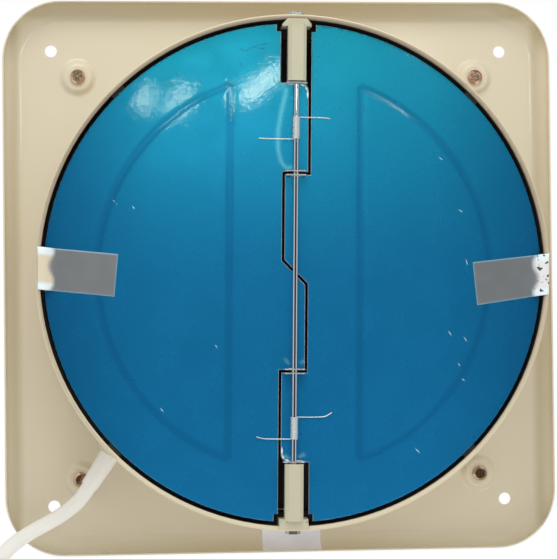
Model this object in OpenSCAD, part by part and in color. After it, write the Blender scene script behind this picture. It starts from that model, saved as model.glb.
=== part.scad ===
// Square wall exhaust fan with a butterfly damper, seen from its outdoor side.
// +Z is up, -Y faces outdoors and +Y faces the room.
// The origin is the centre of the four wall holes, on the side of the panel that faces the wall.
// Every sub-part is drawn lying down, with x to the right, y up and z outdoors, and then stood up.

/* [Panel] */
// Width and height of the square front panel
panel_size = 300; // [290:1:330]
// Outer radius of the panel's corners
panel_corner_r = 32; // [24:1:44]
// Thickness of the panel's sheet metal
panel_sheet = 0.8; // [0.6:0.1:1.2]
// Depth from the panel's floor to the edge that meets the wall
panel_depth = 11; // [10.5:0.5:16]
// Outer radius of the bend between the floor and the side walls
panel_bend_r = 10; // [6:0.5:10]
// Distance from the panel's edge to the middle of a wall hole
wall_hole_inset = 26; // [24:0.5:28]
// Diameter of the holes for the wall screws
wall_hole_d = 6.5; // [5:0.5:8]
// Height of the pressed bosses under the guard screws
boss_h = 3; // [2:0.5:4]
// Diameter of a boss where it leaves the floor
boss_base_d = 21; // [18:1:26]
// Diameter of the flat top of a boss
boss_top_d = 12.4; // [11:0.2:14]

/* [Duct collar] */
// Distance from the panel's edge to the collar's inner wall
collar_inset = 21; // [20:0.5:25]
// Thickness of the collar's sheet metal
collar_sheet = 0.8; // [0.6:0.1:1]
// Height of the collar's rim above the floor
collar_h = 90; // [86:1:110]
// Width of the rolled hem at the rim
hem_w = 2.2; // [1.8:0.1:3]
// Depth of the rolled hem at the rim
hem_depth = 2.4; // [2:0.1:4]
// Width of the flange that holds the collar to the panel
collar_flange_w = 6; // [4:1:8]
// Length of the stops that the closed flaps rest on
stop_len = 5.5; // [4:0.5:8]
// Width of the stops that the closed flaps rest on
stop_w = 8; // [4:1:12]

/* [Damper] */
// Turn of the whole damper in the collar, in degrees
damper_turn = 1; // [-3:0.5:3]
// Diameter of the hinge rod
rod_d = 2.6; // [2.4:0.1:2.8]
// Distance from the collar's rim back to the rod's axis
rod_below_rim = 1; // [0.5:0.1:2]
// Distance from the rod's axis down to the outer face of the flaps
rod_above_flap = 2.5; // [2.4:0.1:3]
// Gap between the closed flaps and the collar's inner wall
flap_gap = 2.1; // [1.5:0.1:5]
// Thickness of the flaps' sheet metal
flap_sheet = 0.6; // [0.5:0.1:0.8]
// Gap between the two flaps
seam_gap = 1.4; // [1:0.1:1.8]
// Distance from the rod to the seam beside the outer tongues
seam_outer = 7.15; // [7:0.05:8]
// Distance from the rod to the seam beside the inner tongues
seam_inner = 6.05; // [6:0.05:6.5]
// Height of the steps in the seam above and below the middle
seam_step = 50.35; // [46:0.05:54]
// Distance from the flaps' edge to the ends of the tongues
tongue_inset = 30.3; // [29:0.1:33]
// Width of the bent ears that the rod passes through
ear_w = 11; // [9:0.5:11]
// Height of the ears above the flap
ear_h = 5.5; // [5:0.1:6]
// Distance from the flaps' edge to the curved groove pressed into each flap
groove_inset = 26.4; // [23:0.1:31]
// Distance from the middle to the straight groove
groove_line_x = 33.5; // [28:0.5:38]
// Width of the pressed groove
groove_w = 5; // [3:0.5:6]
// Depth of the pressed groove
groove_depth = 0.9; // [0.6:0.1:1.1]
// Thickness of the blue protective film on the flaps
film_t = 0.15; // [0.1:0.05:0.2]
// How far the film stops short of the flap's edge
film_inset = 0.35; // [0.2:0.05:0.5]

/* [Posts and springs] */
// Width of the posts that hold the rod
post_w = 9.3; // [8.5:0.1:10]
// Width of the chamfers on the posts' corners
post_chamfer = 1.7; // [1:0.1:2.5]
// Width of the posts' feet
foot_w = 14.8; // [13:0.1:16]
// Height of the posts' feet
foot_h = 4; // [3:0.5:5]
// Depth of the posts' feet
foot_depth = 13; // [12:0.5:14]
// Depth of the rod's hole in a post
rod_hole_depth = 12; // [8:1:16]
// Diameter of the springs' wire
wire_d = 0.6; // [0.5:0.05:0.7]
// Curls in each spring
spring_curls = 10; // [6:1:12]
// Rise of one curl
spring_pitch = 1.12; // [1.12:0.01:1.2]
// Length of the springs' legs
leg_len = 19; // [14:0.5:24]

/* [Guard] */
// Distance from the panel's edge to the middle of a guard screw
screw_inset = 40.5; // [39:0.5:43]
// Diameter of the guard's ring wires
ring_wire_d = 2.5; // [2:0.1:3]
// Diameter of the guard's spoke wires
spoke_d = 4; // [3.5:0.1:4.5]
// Number of ring wires
ring_count = 13; // [8:1:14]
// Distance from the collar's inner wall out to the outermost ring wire
ring_overhang = 10.5; // [7:0.5:11]
// Spokes of the guard, four of which reach the screws
spoke_count = 8; // [8:4:16]
// Diameter of the plate in the middle of the guard
hub_plate_d = 104; // [98:1:110]
// Thickness of that plate
hub_plate_t = 1.5; // [1:0.1:2]

/* [Motor] */
// Diameter of the motor
motor_d = 84; // [80:1:86]
// Length of the motor without its shaft
motor_len = 52; // [50:1:56]
// Thickness of the motor's shells
shell_t = 1.2; // [1:0.1:1.5]
// Length of the stator core
core_len = 14; // [12:1:18]
// Diameter of the motor shaft
shaft_d = 8; // [7:0.5:9]
// Distance from the motor's side to the middle of a bolt
bolt_inset = 5.5; // [5:0.1:6]

/* [Impeller] */
// Number of blades
blade_count = 6; // [4:1:7]
// Gap between the blade tips and the collar's inner wall
tip_gap = 6; // [4:0.5:14]
// Diameter of the impeller's hub
hub_d = 68; // [60:1:72]
// Depth of the impeller's hub
hub_h = 28; // [24:1:30]
// Height of the middle of the impeller above the floor
impeller_z = 50; // [48:0.5:52]
// Blade angle at the hub, in degrees
root_angle = 37; // [30:1:40]
// Blade angle at the tip, in degrees
tip_angle = 23; // [18:1:28]

/* [Power cord] */
// Diameter of the power cord
cord_d = 8; // [7:0.1:8.4]
// Direction in which the cord leaves the collar, in degrees
cord_angle = 236.2; // [230:0.1:240]
// Height of the cord's exit above the floor
cord_exit_z = 21.5; // [18:0.5:24]
// Length of the strain relief outside the collar
relief_len = 24; // [20:1:30]
// Inner radius of the coiled cord, at its middle
coil_inner_r = 35; // [33:1:40]
// Turns in each of the coil's two layers
coil_turns = 2; // [1:1:3]
// Gap between neighbouring turns of the coil
coil_gap = 0.5; // [0.45:0.05:0.8]

/* [Hidden] */

// Facets of round shapes
$fn = 96;
// Small overshoot so that cuts pass through
eps = 0.01;
// Clearance of a seated piece
seat_gap = 0.02;
// Radial clearance of a running fit
run_gap = 0.06;
// Radial clearance of a screw in its hole
screw_gap = 0.15;
// Gap between a rigid piece and what it must not rub
free_gap = 0.3;

// Panel
half_panel = panel_size / 2;
corner_at = half_panel - panel_corner_r;
flat_r = panel_corner_r - panel_bend_r;
bend_z = panel_bend_r - panel_sheet;
wall_hole_at = half_panel - wall_hole_inset;

// Collar
collar_r = half_panel - collar_inset;
collar_out_r = collar_r + collar_sheet;
hem_r = collar_r + hem_w;
opening_r = hem_r + 0.4;
collar_bend_r = collar_sheet;

// Damper
rod_r = rod_d / 2;
rod_z = collar_h - rod_below_rim;
flap_top = rod_z - rod_above_flap;
flap_bottom = flap_top - flap_sheet;
film_top = flap_top + film_t;
half_seam = seam_gap / 2;
flap_r = collar_r - flap_gap;
tongue_end = flap_r - tongue_inset;
groove_arc_r = flap_r - groove_inset;
ear_hole_r = rod_r + run_gap;
corner_notch = 2.2;
corner_notch_y = flap_r - 4.1;
tongue_corner_r = 4;

// Posts
post_tip = tongue_end + 0.6;
foot_z = rod_z - 4;
foot_lip_w = 1.5;
foot_chamfer = 2.6;
post_screw_r = 1.9;
post_screw_len = 12;
post_head_r = 4.05;
post_head_h = 3.2;
post_screw_z = collar_h - hem_depth - post_head_r * cos(30) - free_gap;

// Springs: each wire is wound round the rod and its legs press on the two flaps
wire_r = wire_d / 2;
spring_r = rod_r + wire_r + 0.1;
spring_rings = 8;
spring_sides = 6;
upper_spring_y = tongue_end - 23.2;
lower_spring_y = 17.4 - tongue_end;
leg_z = film_top + wire_r + seat_gap;
leg_rise = 2.6;

// Guard: the spokes follow one wide arc, and the rings lie on the room side of them
screw_at = half_panel - screw_inset;
ring_outer_r = collar_r + ring_overhang;
screw_r = screw_at * sqrt(2);
shank_r = 2;
pan_head_r = 4;
pan_head_h = 2.5;
bush_r = boss_top_d / 2 - 1.2;
motor_front_z = -motor_len / 2;
plate_r = hub_plate_d / 2;
spoke_r = spoke_d / 2;
ring_wire_r = ring_wire_d / 2;
spoke_in_r = motor_d / 2 + 2;
spoke_in_z = motor_front_z + spoke_r - 0.6;
spoke_out_r = ring_outer_r;
spoke_out_z = -panel_sheet - collar_sheet - spoke_r - 0.05;
dome_z = (pow(spoke_out_r, 2) - pow(spoke_in_r, 2) + pow(spoke_out_z, 2) - pow(spoke_in_z, 2))
  / (2 * (spoke_out_z - spoke_in_z));
dome_r = sqrt(pow(spoke_in_r, 2) + pow(dome_z - spoke_in_z, 2));
ring_offset = spoke_r + ring_wire_r + 0.05;
ring_inner_r = plate_r + 4;

// Motor
motor_r = motor_d / 2;
bolt_circle_r = motor_r - bolt_inset;
motor_rear_z = motor_len / 2;
half_core = core_len / 2;
shaft_r = shaft_d / 2;
rotor_r = 22;
air_gap = 0.4;
winding_in = rotor_r + 2;
winding_out = bolt_circle_r - 5;
winding_h = 8;
bearing_r = shaft_r + 4.5;
bearing_len = 8;
housing_wall = 1.5;
bolt_r = 2;
bolt_head_h = 2.6;
nut_r = 4.1;
nut_h = 3.2;
box_w = 34;
box_depth = 20;
box_h = 24;
box_z = -4;

// Impeller
impeller_r = collar_r - tip_gap;
impeller_hub_r = hub_d / 2;
hub_low = impeller_z - hub_h / 2;
hub_top = impeller_z + hub_h / 2;
hub_wall = 2.4;
boss_r = 9;
shaft_end = hub_top + 7;
pin_r = 1.2;
pin_len = 15;
pin_z = hub_low + 3;
blade_spans = 8;
blade_chords = 6;
root_chord = 50;
tip_chord = 66;
root_t = 2.6;
tip_t = 1.6;
blade_camber = 0.06;
blade_root_r = impeller_hub_r - 1.2;

// Cord exit through the collar's wall
cord_r = cord_d / 2;
exit_x = collar_out_r * cos(225);
exit_y = collar_out_r * sin(225);
relief_r = cord_r + 1.2;
relief_end_r = cord_r + 0.6;
relief_in = 6;
grommet_hole_r = relief_r + 1.5;
grommet_r = grommet_hole_r + 2.2;
grommet_half = 4;
relief_end = [exit_x + relief_len * cos(cord_angle), exit_y + relief_len * sin(cord_angle), cord_exit_z];
lead_start = [exit_x - relief_in * cos(cord_angle), exit_y - relief_in * sin(cord_angle), cord_exit_z];

// Coil of spare cord that hangs level under the panel's corner, and leaves to the plug at its side
coil_x = -162;
coil_y = -256;
coil_pitch = cord_d + coil_gap;
coil_outer_r = coil_inner_r + coil_turns * coil_pitch;
coil_z = coil_pitch / 2;
coil_entry = 150;
coil_extra = (180 - coil_entry) / 360;
coil_rings = 24;
coil_sides = 6;
coil_in = [coil_x + coil_outer_r * cos(coil_entry), coil_y + coil_outer_r * sin(coil_entry), coil_z];
coil_heading = [-sin(coil_entry), cos(coil_entry), 0];
coil_end_x = coil_x - coil_outer_r - coil_extra * coil_pitch;
coil_end_y = coil_y - cord_d;

// Route of the cord's free stretch: over the rim's corner, down and into the coil
cord_route = [
  relief_end,
  relief_end + 6 * [cos(cord_angle), sin(cord_angle), 0],
  [-113.2, -121.9, 21.3],
  [-121, -127.5, 20.7],
  [-128, -131.5, 19.8],
  [-135.5, -135.5, 18.8],
  [-142.5, -140, 17.7],
  [-149, -145.5, 16.5],
  [-154, -152, 15.2],
  [-159.5, -159.5, 13.7],
  [-165.5, -168, 12],
  [-172, -177, 10.2],
  [-178.5, -186.3, 8.4],
  [-185, -195.8, 6.6],
  [-191.8, -205.7, 5.1],
  coil_in - 2 * cord_d * coil_heading,
  coil_in - cord_d * coil_heading
];

// Plug
plug_neck_len = 24;
plug_body_len = 26;
plug_face_r = 18;
plug_half_depth = 13;
plug_neck_r = 5.4;
plug_shoulder_r = 8;
pin_w = 6.3;
pin_t = 1.6;
line_pin_len = 17;
earth_pin_len = 20;

// Colours
cream = [0.85, 0.82, 0.72];
film_blue = [0.1, 0.5, 0.7];
sheet_silver = [0.78, 0.79, 0.8];
steel = [0.62, 0.63, 0.65];

// A sub-part drawn lying down is stood up with its z pointing outdoors
module stood() {
  rotate([90, 0, 0])
    children();
}

// The damper's own upright is turned a little in the collar
module in_damper() {
  stood()
    rotate([0, 0, -damper_turn])
      children();
}

// Places children at the four corners of a square
module at_corners(at) {
  for (sx = [-1, 1], sy = [-1, 1])
    translate([sx * at, sy * at, 0])
      children();
}

// Places children along the cord's axis where it passes the collar's wall
module at_exit() {
  translate([exit_x, exit_y, cord_exit_z])
    rotate([0, 0, cord_angle])
      rotate([0, 90, 0])
        children();
}

function unit(v) = v / norm(v);
function mix(a, b, t) = a + (b - a) * t;
function along(p, i) =
  unit(p[min(i + 1, len(p) - 1)] - p[max(i - 1, 0)]);

// A closed tube with a ring of corners at each point of a path, and flat ends
function ring_at(c, t, up, r, sides) =
  let (side = unit(cross(t, up)), top = cross(side, t))
  [for (k = [0:sides - 1]) c + r * (cos(360 * k / sides) * side + sin(360 * k / sides) * top)];

function tube_faces(n, m) = concat(
  [for (i = [0:n - 2], k = [0:m - 1]) [i * m + k, i * m + (k + 1) % m, (i + 1) * m + k]],
  [for (i = [0:n - 2], k = [0:m - 1])
    [i * m + (k + 1) % m, (i + 1) * m + (k + 1) % m, (i + 1) * m + k]],
  [for (k = [1:m - 2]) [0, k + 1, k]],
  [for (k = [1:m - 2]) [(n - 1) * m, (n - 1) * m + k, (n - 1) * m + k + 1]]
);

module tube(path, r, sides, up) {
  rings = [for (i = [0:len(path) - 1]) ring_at(path[i], along(path, i), up, r, sides)];
  polyhedron(points = [for (ring = rings) each ring], faces = tube_faces(len(path), sides));
}

// Least gap between the wire's surface at one point of a path and at all points over a curl away
function least_gap(path, r, apart) = min([
  for (i = [0:len(path) - 1 - apart], j = [i + apart:len(path) - 1]) norm(path[i] - path[j]) - 2 * r
]);

// Square outline with round corners
module rounded_square(half, r) {
  square([2 * half, 2 * (half - r)], center = true);
  square([2 * (half - r), 2 * half], center = true);
  at_corners(half - r)
    circle(r);
}

// Section of the panel's bent side wall, with x outward from the flat floor's edge
module side_section() {
  difference() {
    intersection() {
      translate([flat_r, bend_z])
        circle(panel_bend_r);
      translate([flat_r, -panel_sheet])
        square([panel_bend_r, panel_bend_r]);
    }
    translate([flat_r, bend_z])
      circle(panel_bend_r - panel_sheet);
  }
  translate([panel_corner_r - panel_sheet, bend_z])
    square([panel_sheet, panel_depth - bend_z]);
}

module panel_rim() {
  for (turn = [0:90:270]) rotate([0, 0, turn]) {
    translate([corner_at, corner_at, 0])
      rotate_extrude(angle = 90)
        side_section();
    translate([corner_at, corner_at, 0])
      rotate([90, 0, 0])
        linear_extrude(height = 2 * corner_at)
          side_section();
  }
}

// Pressed boss whose side runs smoothly from the floor to its flat top
module boss() {
  steps = 6;
  top_r = boss_top_d / 2;
  base_r = boss_base_d / 2;
  rotate_extrude()
    polygon(concat(
      [[0, 0], [0, boss_h]],
      [for (i = [0:steps]) [mix(top_r, base_r, i / steps), boss_h * (1 + cos(180 * i / steps)) / 2]]
    ));
}

// Pressed steel panel with a rolled edge, four bosses, four wall holes and the duct opening
module front_panel() {
  color(cream) stood()
    difference() {
      union() {
        translate([0, 0, -panel_sheet])
          linear_extrude(height = panel_sheet)
            rounded_square(corner_at + flat_r, flat_r);
        panel_rim();
        at_corners(screw_at)
          boss();
      }
      at_corners(screw_at) {
        translate([0, 0, -panel_sheet])
          boss();
        cylinder(h = boss_h + 1, r = shank_r + screw_gap);
      }
      at_corners(wall_hole_at)
        translate([0, 0, -panel_sheet - 1])
          cylinder(h = panel_sheet + 2, d = wall_hole_d);
      translate([0, 0, -panel_sheet - 1])
        cylinder(h = panel_sheet + 2, r = opening_r);
    }
}

// Half section of the collar: flange, bend, wall and rolled hem
module collar_section() {
  flange_z = -panel_sheet - collar_sheet;
  translate([collar_out_r + collar_bend_r, flange_z])
    square([collar_flange_w - collar_bend_r, collar_sheet]);
  difference() {
    intersection() {
      translate([collar_out_r + collar_bend_r, flange_z + collar_sheet + collar_bend_r])
        circle(collar_sheet + collar_bend_r);
      translate([collar_r, flange_z])
        square([collar_sheet + collar_bend_r, collar_sheet + collar_bend_r]);
    }
    translate([collar_out_r + collar_bend_r, flange_z + collar_sheet + collar_bend_r])
      circle(collar_bend_r);
  }
  translate([collar_r, flange_z + collar_sheet + collar_bend_r])
    square([collar_sheet, collar_h - hem_depth - flange_z - collar_sheet - collar_bend_r + eps]);
  translate([collar_r, collar_h - hem_depth])
    square([hem_w, hem_depth - hem_w / 2]);
  translate([collar_r + hem_w / 2, collar_h - hem_w / 2])
    circle(hem_w / 2);
}

// Duct collar with its rolled hem, the flaps' stops and the holes for the posts and the cord
module duct_collar() {
  color(cream) stood()
    difference() {
      union() {
        rotate_extrude()
          collar_section();
        for (a = [45:90:315]) rotate([0, 0, a - damper_turn])
          translate([collar_r - stop_len, -stop_w / 2, flap_bottom - free_gap - collar_sheet])
            cube([stop_len + collar_sheet / 2, stop_w, collar_sheet]);
      }
      for (s = [-1, 1]) rotate([-90 * s, 0, -damper_turn])
        translate([0, -s * post_screw_z, collar_r - 2])
          cylinder(h = collar_sheet + 4, r = post_screw_r + screw_gap);
      at_exit()
        translate([0, 0, -6])
          cylinder(h = 12, r = grommet_hole_r);
    }
}

// One guard spoke: a wire bent to the dome's arc from the middle plate to the outer ring
module spoke() {
  a_in = asin(spoke_in_r / dome_r);
  a_out = asin(spoke_out_r / dome_r);
  translate([0, 0, dome_z])
    rotate([90, 0, 0])
      rotate([0, 0, a_in - 90])
        rotate_extrude(angle = a_out - a_in)
          translate([dome_r, 0])
            circle(spoke_r);
}

// Spokes, middle plate and the four screw bushes, welded together
module guard_spokes() {
  leg_end = screw_r - bush_r / 2;
  color("whitesmoke") stood()
    difference() {
      union() {
        translate([0, 0, motor_front_z - hub_plate_t])
          cylinder(h = hub_plate_t, r = plate_r);
        for (i = [0:spoke_count - 1]) rotate([0, 0, i * 360 / spoke_count])
          spoke();
        for (a = [45:90:315]) rotate([0, 0, a]) {
          translate([spoke_out_r - 1, 0, spoke_out_z])
            rotate([0, 90, 0])
              cylinder(h = leg_end - spoke_out_r + 1, r = spoke_r);
          translate([screw_r, 0, spoke_out_z - spoke_r])
            cylinder(h = boss_h - panel_sheet - seat_gap - spoke_out_z + spoke_r, r = bush_r);
        }
      }
      for (a = [45:90:315]) rotate([0, 0, a]) {
        translate([screw_r, 0, spoke_out_z])
          cylinder(h = boss_h - spoke_out_z, r = shank_r + seat_gap);
        translate([bolt_circle_r, 0, motor_front_z - hub_plate_t - 1])
          cylinder(h = hub_plate_t + 2, r = bolt_r + screw_gap);
      }
    }
}

// Ring wires that lie on the room side of the spokes
module guard_rings() {
  a_in = asin(ring_inner_r / (dome_r + ring_offset));
  a_out = asin(ring_outer_r / (dome_r + ring_offset));
  color("whitesmoke") stood()
    for (i = [0:ring_count - 1]) {
      a = mix(a_in, a_out, i / (ring_count - 1));
      translate([0, 0, dome_z - (dome_r + ring_offset) * cos(a)])
        rotate_extrude()
          translate([(dome_r + ring_offset) * sin(a), 0])
            circle(ring_wire_r);
    }
}

// Cross recess of a screw head that ends at the given height
module cross_recess(top, size, depth) {
  for (a = [0, 90]) rotate([0, 0, a])
    translate([-size / 2, -size / 8, top - depth])
      cube([size, size / 4, depth + 1]);
}

// Brass pan-head screws from the wall side through the bosses into the guard's bushes
module guard_screws() {
  head_z = boss_h + seat_gap;
  color("goldenrod") stood()
    at_corners(screw_at)
      difference() {
        union() {
          translate([0, 0, head_z])
            cylinder(h = pan_head_h * 0.6, r = pan_head_r);
          translate([0, 0, head_z + pan_head_h * 0.6])
            cylinder(h = pan_head_h * 0.4, r1 = pan_head_r, r2 = pan_head_r * 0.7);
          translate([0, 0, spoke_out_z])
            cylinder(h = head_z - spoke_out_z + eps, r = shank_r);
        }
        cross_recess(head_z + pan_head_h, pan_head_r, pan_head_h * 0.6);
      }
}

// Pressed motor shell, open towards the core, with a bearing housing and bolt holes
module motor_shell() {
  depth = motor_rear_z - half_core;
  housing_z = motor_rear_z - shell_t - bearing_len;
  difference() {
    union() {
      difference() {
        translate([0, 0, half_core])
          cylinder(h = depth - 3, r = motor_r);
        translate([0, 0, half_core - 1])
          cylinder(h = depth - shell_t + 1, r = motor_r - shell_t);
      }
      difference() {
        translate([0, 0, motor_rear_z - 3])
          cylinder(h = 3, r1 = motor_r, r2 = motor_r - 3);
        translate([0, 0, half_core])
          cylinder(h = depth - shell_t, r = motor_r - shell_t - 2);
      }
      translate([0, 0, housing_z])
        cylinder(h = bearing_len + shell_t, r = bearing_r + housing_wall);
    }
    translate([0, 0, housing_z - 1])
      cylinder(h = bearing_len + 1, r = bearing_r + seat_gap);
    translate([0, 0, housing_z])
      cylinder(h = bearing_len + shell_t + 1, r = shaft_r + 1);
    for (a = [45:90:315]) rotate([0, 0, a])
      translate([bolt_circle_r, 0, half_core])
        cylinder(h = depth + 1, r = bolt_r + screw_gap);
  }
}

module motor_front_shell() {
  color("silver") stood()
    mirror([0, 0, 1])
      motor_shell();
}

module motor_rear_shell() {
  color("silver") stood()
    motor_shell();
}

// Laminated stator core with slots for the windings
module stator_core() {
  color("dimgray") stood()
    difference() {
      translate([0, 0, -half_core])
        cylinder(h = core_len, r = motor_r);
      translate([0, 0, -half_core - 1])
        cylinder(h = core_len + 2, r = rotor_r + air_gap);
      for (a = [0:45:315]) rotate([0, 0, a]) {
        translate([rotor_r + 3, -2.2, -half_core - 1])
          cube([winding_out - rotor_r - 4, 4.4, core_len + 2]);
        translate([rotor_r, -0.8, -half_core - 1])
          cube([4, 1.6, core_len + 2]);
      }
      for (a = [45:90:315]) rotate([0, 0, a])
        translate([bolt_circle_r, 0, -half_core - 1])
          cylinder(h = core_len + 2, r = bolt_r + screw_gap);
    }
}

// End turns of the windings on both sides of the core
module stator_windings() {
  color("chocolate") stood()
    for (s = [0, 1]) mirror([0, 0, s])
      translate([0, 0, half_core + seat_gap])
        rotate_extrude()
          translate([winding_in, 0]) {
            square([winding_out - winding_in, winding_h - 2]);
            translate([2, 0])
              square([winding_out - winding_in - 4, winding_h]);
            for (x = [2, winding_out - winding_in - 2])
              translate([x, winding_h - 2])
                circle(2);
          }
}

module bearing() {
  translate([0, 0, motor_rear_z - shell_t - bearing_len])
    difference() {
      cylinder(h = bearing_len - seat_gap, r = bearing_r);
      translate([0, 0, -1])
        cylinder(h = bearing_len + 2, r = shaft_r + run_gap);
    }
}

module front_bearing() {
  color("peru") stood()
    mirror([0, 0, 1])
      bearing();
}

module rear_bearing() {
  color("peru") stood()
    bearing();
}

// Long bolts that clamp the shells and the core to the guard's middle plate
module motor_bolts() {
  color("silver") stood()
    for (a = [45:90:315]) rotate([0, 0, a])
      translate([bolt_circle_r, 0, 0]) {
        translate([0, 0, motor_rear_z + seat_gap])
          cylinder(h = bolt_head_h, r = bolt_r + 1.6);
        translate([0, 0, motor_front_z - hub_plate_t - nut_h - 1])
          cylinder(h = motor_len + hub_plate_t + nut_h + 1 + 2 * seat_gap, r = bolt_r);
      }
}

module motor_nuts() {
  color("silver") stood()
    for (a = [45:90:315]) rotate([0, 0, a])
      translate([bolt_circle_r, 0, motor_front_z - hub_plate_t - seat_gap - nut_h])
        difference() {
          cylinder(h = nut_h, r = nut_r, $fn = 6);
          translate([0, 0, -1])
            cylinder(h = nut_h + 2, r = bolt_r + seat_gap);
        }
}

// Plastic box on the motor's side that holds the capacitor and the cord's joints
module terminal_box() {
  color("black") stood()
    rotate([0, 0, 225])
      difference() {
        translate([motor_r - 4, -box_w / 2, box_z - box_h / 2])
          cube([box_depth + 4, box_w, box_h]);
        translate([0, 0, box_z - box_h])
          cylinder(h = 2 * box_h, r = motor_r + seat_gap);
        for (s = [-1, 1])
          translate([motor_r + box_depth, s * box_w / 2, box_z])
            rotate([0, 0, 45])
              cube([3, 3, box_h + 2], center = true);
      }
}

// Cast rotor with short-circuit rings and fan vanes
module rotor() {
  color("gainsboro") stood()
    difference() {
      union() {
        translate([0, 0, -half_core])
          cylinder(h = core_len, r = rotor_r);
        translate([0, 0, -half_core - 3])
          cylinder(h = core_len + 6, r = rotor_r - 2);
      }
      translate([0, 0, -half_core - 4])
        cylinder(h = core_len + 8, r = shaft_r + seat_gap);
      for (s = [0, 1]) mirror([0, 0, s])
        translate([0, 0, half_core])
          cylinder(h = 4, r = rotor_r - 6);
    }
}

// Shaft from the front bearing through the impeller to the nut
module motor_shaft() {
  color("lightgray") stood()
    difference() {
      translate([0, 0, motor_front_z + shell_t])
        cylinder(h = shaft_end - motor_front_z - shell_t, r = shaft_r);
      translate([-shaft_d, 0, pin_z])
        rotate([0, 90, 0])
          cylinder(h = 2 * shaft_d, r = pin_r + seat_gap);
    }
}

// Washers between the rotor and the two bearings
module thrust_washers() {
  low = half_core + seat_gap;
  high = motor_rear_z - shell_t - bearing_len - free_gap;
  color("ivory") stood()
    for (s = [0, 1]) mirror([0, 0, s])
      translate([0, 0, low])
        difference() {
          cylinder(h = high - low, r = shaft_r + 2.5);
          translate([0, 0, -1])
            cylinder(h = high - low + 2, r = shaft_r + seat_gap);
        }
}

// One point of a blade: s runs from root to tip, c from edge to edge, and side is the face
function blade_point(s, c, side) =
  let (
    r = mix(blade_root_r, impeller_r, s),
    pitch = mix(root_angle, tip_angle, s),
    chord = mix(root_chord, tip_chord, s),
    half = mix(root_t, tip_t, s) / 2 * (0.3 + 0.7 * sin(180 * c)),
    bow = chord * blade_camber * 4 * c * (1 - c) + side * half,
    u = (c - 0.5) * chord * cos(pitch) - bow * sin(pitch),
    w = (c - 0.5) * chord * sin(pitch) + bow * cos(pitch),
    a = u / r * 180 / PI
  )
  [r * cos(a), r * sin(a), w];

function blade_faces(n, m) =
  let (
    row = m + 1,
    lower = (n + 1) * row,
    top = [for (i = [0:n - 1], j = [0:m - 1])
      each [[i * row + j, i * row + j + 1, (i + 1) * row + j],
        [i * row + j + 1, (i + 1) * row + j + 1, (i + 1) * row + j]]],
    edge = concat(
      [for (j = [0:m - 1]) [j, j + 1]],
      [for (i = [0:n - 1]) [i * row + m, (i + 1) * row + m]],
      [for (j = [m:-1:1]) [n * row + j, n * row + j - 1]],
      [for (i = [n:-1:1]) [i * row, (i - 1) * row]]
    )
  )
  concat(
    top,
    [for (f = top) [lower + f[0], lower + f[2], lower + f[1]]],
    [for (e = edge) each [[e[0], lower + e[0], e[1]], [e[1], lower + e[0], lower + e[1]]]]
  );

module blade() {
  polyhedron(
    points = [for (side = [1, -1], i = [0:blade_spans], j = [0:blade_chords])
      blade_point(i / blade_spans, j / blade_chords, side)],
    faces = blade_faces(blade_spans, blade_chords)
  );
}

// Axial impeller: a hub cup with ribs round the shaft and twisted blades
module impeller() {
  color([0.16, 0.16, 0.17]) stood()
    difference() {
      union() {
        difference() {
          translate([0, 0, hub_low])
            cylinder(h = hub_h, r = impeller_hub_r);
          translate([0, 0, hub_low - 1])
            cylinder(h = hub_h - hub_wall + 1, r = impeller_hub_r - hub_wall);
        }
        translate([0, 0, hub_low])
          cylinder(h = hub_h, r = boss_r);
        for (a = [30:60:330]) rotate([0, 0, a])
          translate([boss_r - 1, -0.8, hub_low + 8])
            cube([impeller_hub_r - hub_wall - boss_r + 2, 1.6, hub_h - 9]);
        for (i = [0:blade_count - 1])
          translate([0, 0, impeller_z])
            rotate([0, 0, 90 + i * 360 / blade_count])
              blade();
      }
      translate([0, 0, hub_low - 1])
        cylinder(h = hub_h + 2, r = shaft_r + seat_gap);
      translate([-pin_len / 2 - seat_gap, -pin_r - seat_gap, hub_low - 1])
        cube([pin_len + 2 * seat_gap, 2 * (pin_r + seat_gap), pin_z - hub_low + pin_r + 1 + seat_gap]);
    }
}

// Cross pin through the shaft that drives the hub
module drive_pin() {
  color("silver") stood()
    translate([-pin_len / 2, 0, pin_z])
      rotate([0, 90, 0])
        cylinder(h = pin_len, r = pin_r);
}

// Cap nut on the shaft's end
module impeller_nut() {
  color("dimgray") stood()
    translate([0, 0, hub_top + seat_gap])
      difference() {
        union() {
          cylinder(h = 7.6, r = 7.5, $fn = 6);
          cylinder(h = 1.2, r = 9);
          translate([0, 0, 7.6])
            cylinder(h = 2, r1 = 6, r2 = 3.5);
        }
        translate([0, 0, -1])
          cylinder(h = shaft_end - hub_top + 1 + free_gap, r = shaft_r + seat_gap);
      }
}

// Steel rod that both flaps swing on
module hinge_rod() {
  reach = post_tip + rod_hole_depth - 0.5;
  color(steel) in_damper()
    translate([0, reach, rod_z])
      rotate([90, 0, 0])
        cylinder(h = 2 * reach, r = rod_r);
}

// Outline of a post across its length, with chamfered corners
module post_section() {
  h = post_w / 2;
  c = post_chamfer;
  polygon([
    [-h + c, -h], [h - c, -h], [h, -h + c], [h, h - c],
    [h - c, h], [-h + c, h], [-h, h - c], [-h, -h + c]
  ]);
}

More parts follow.
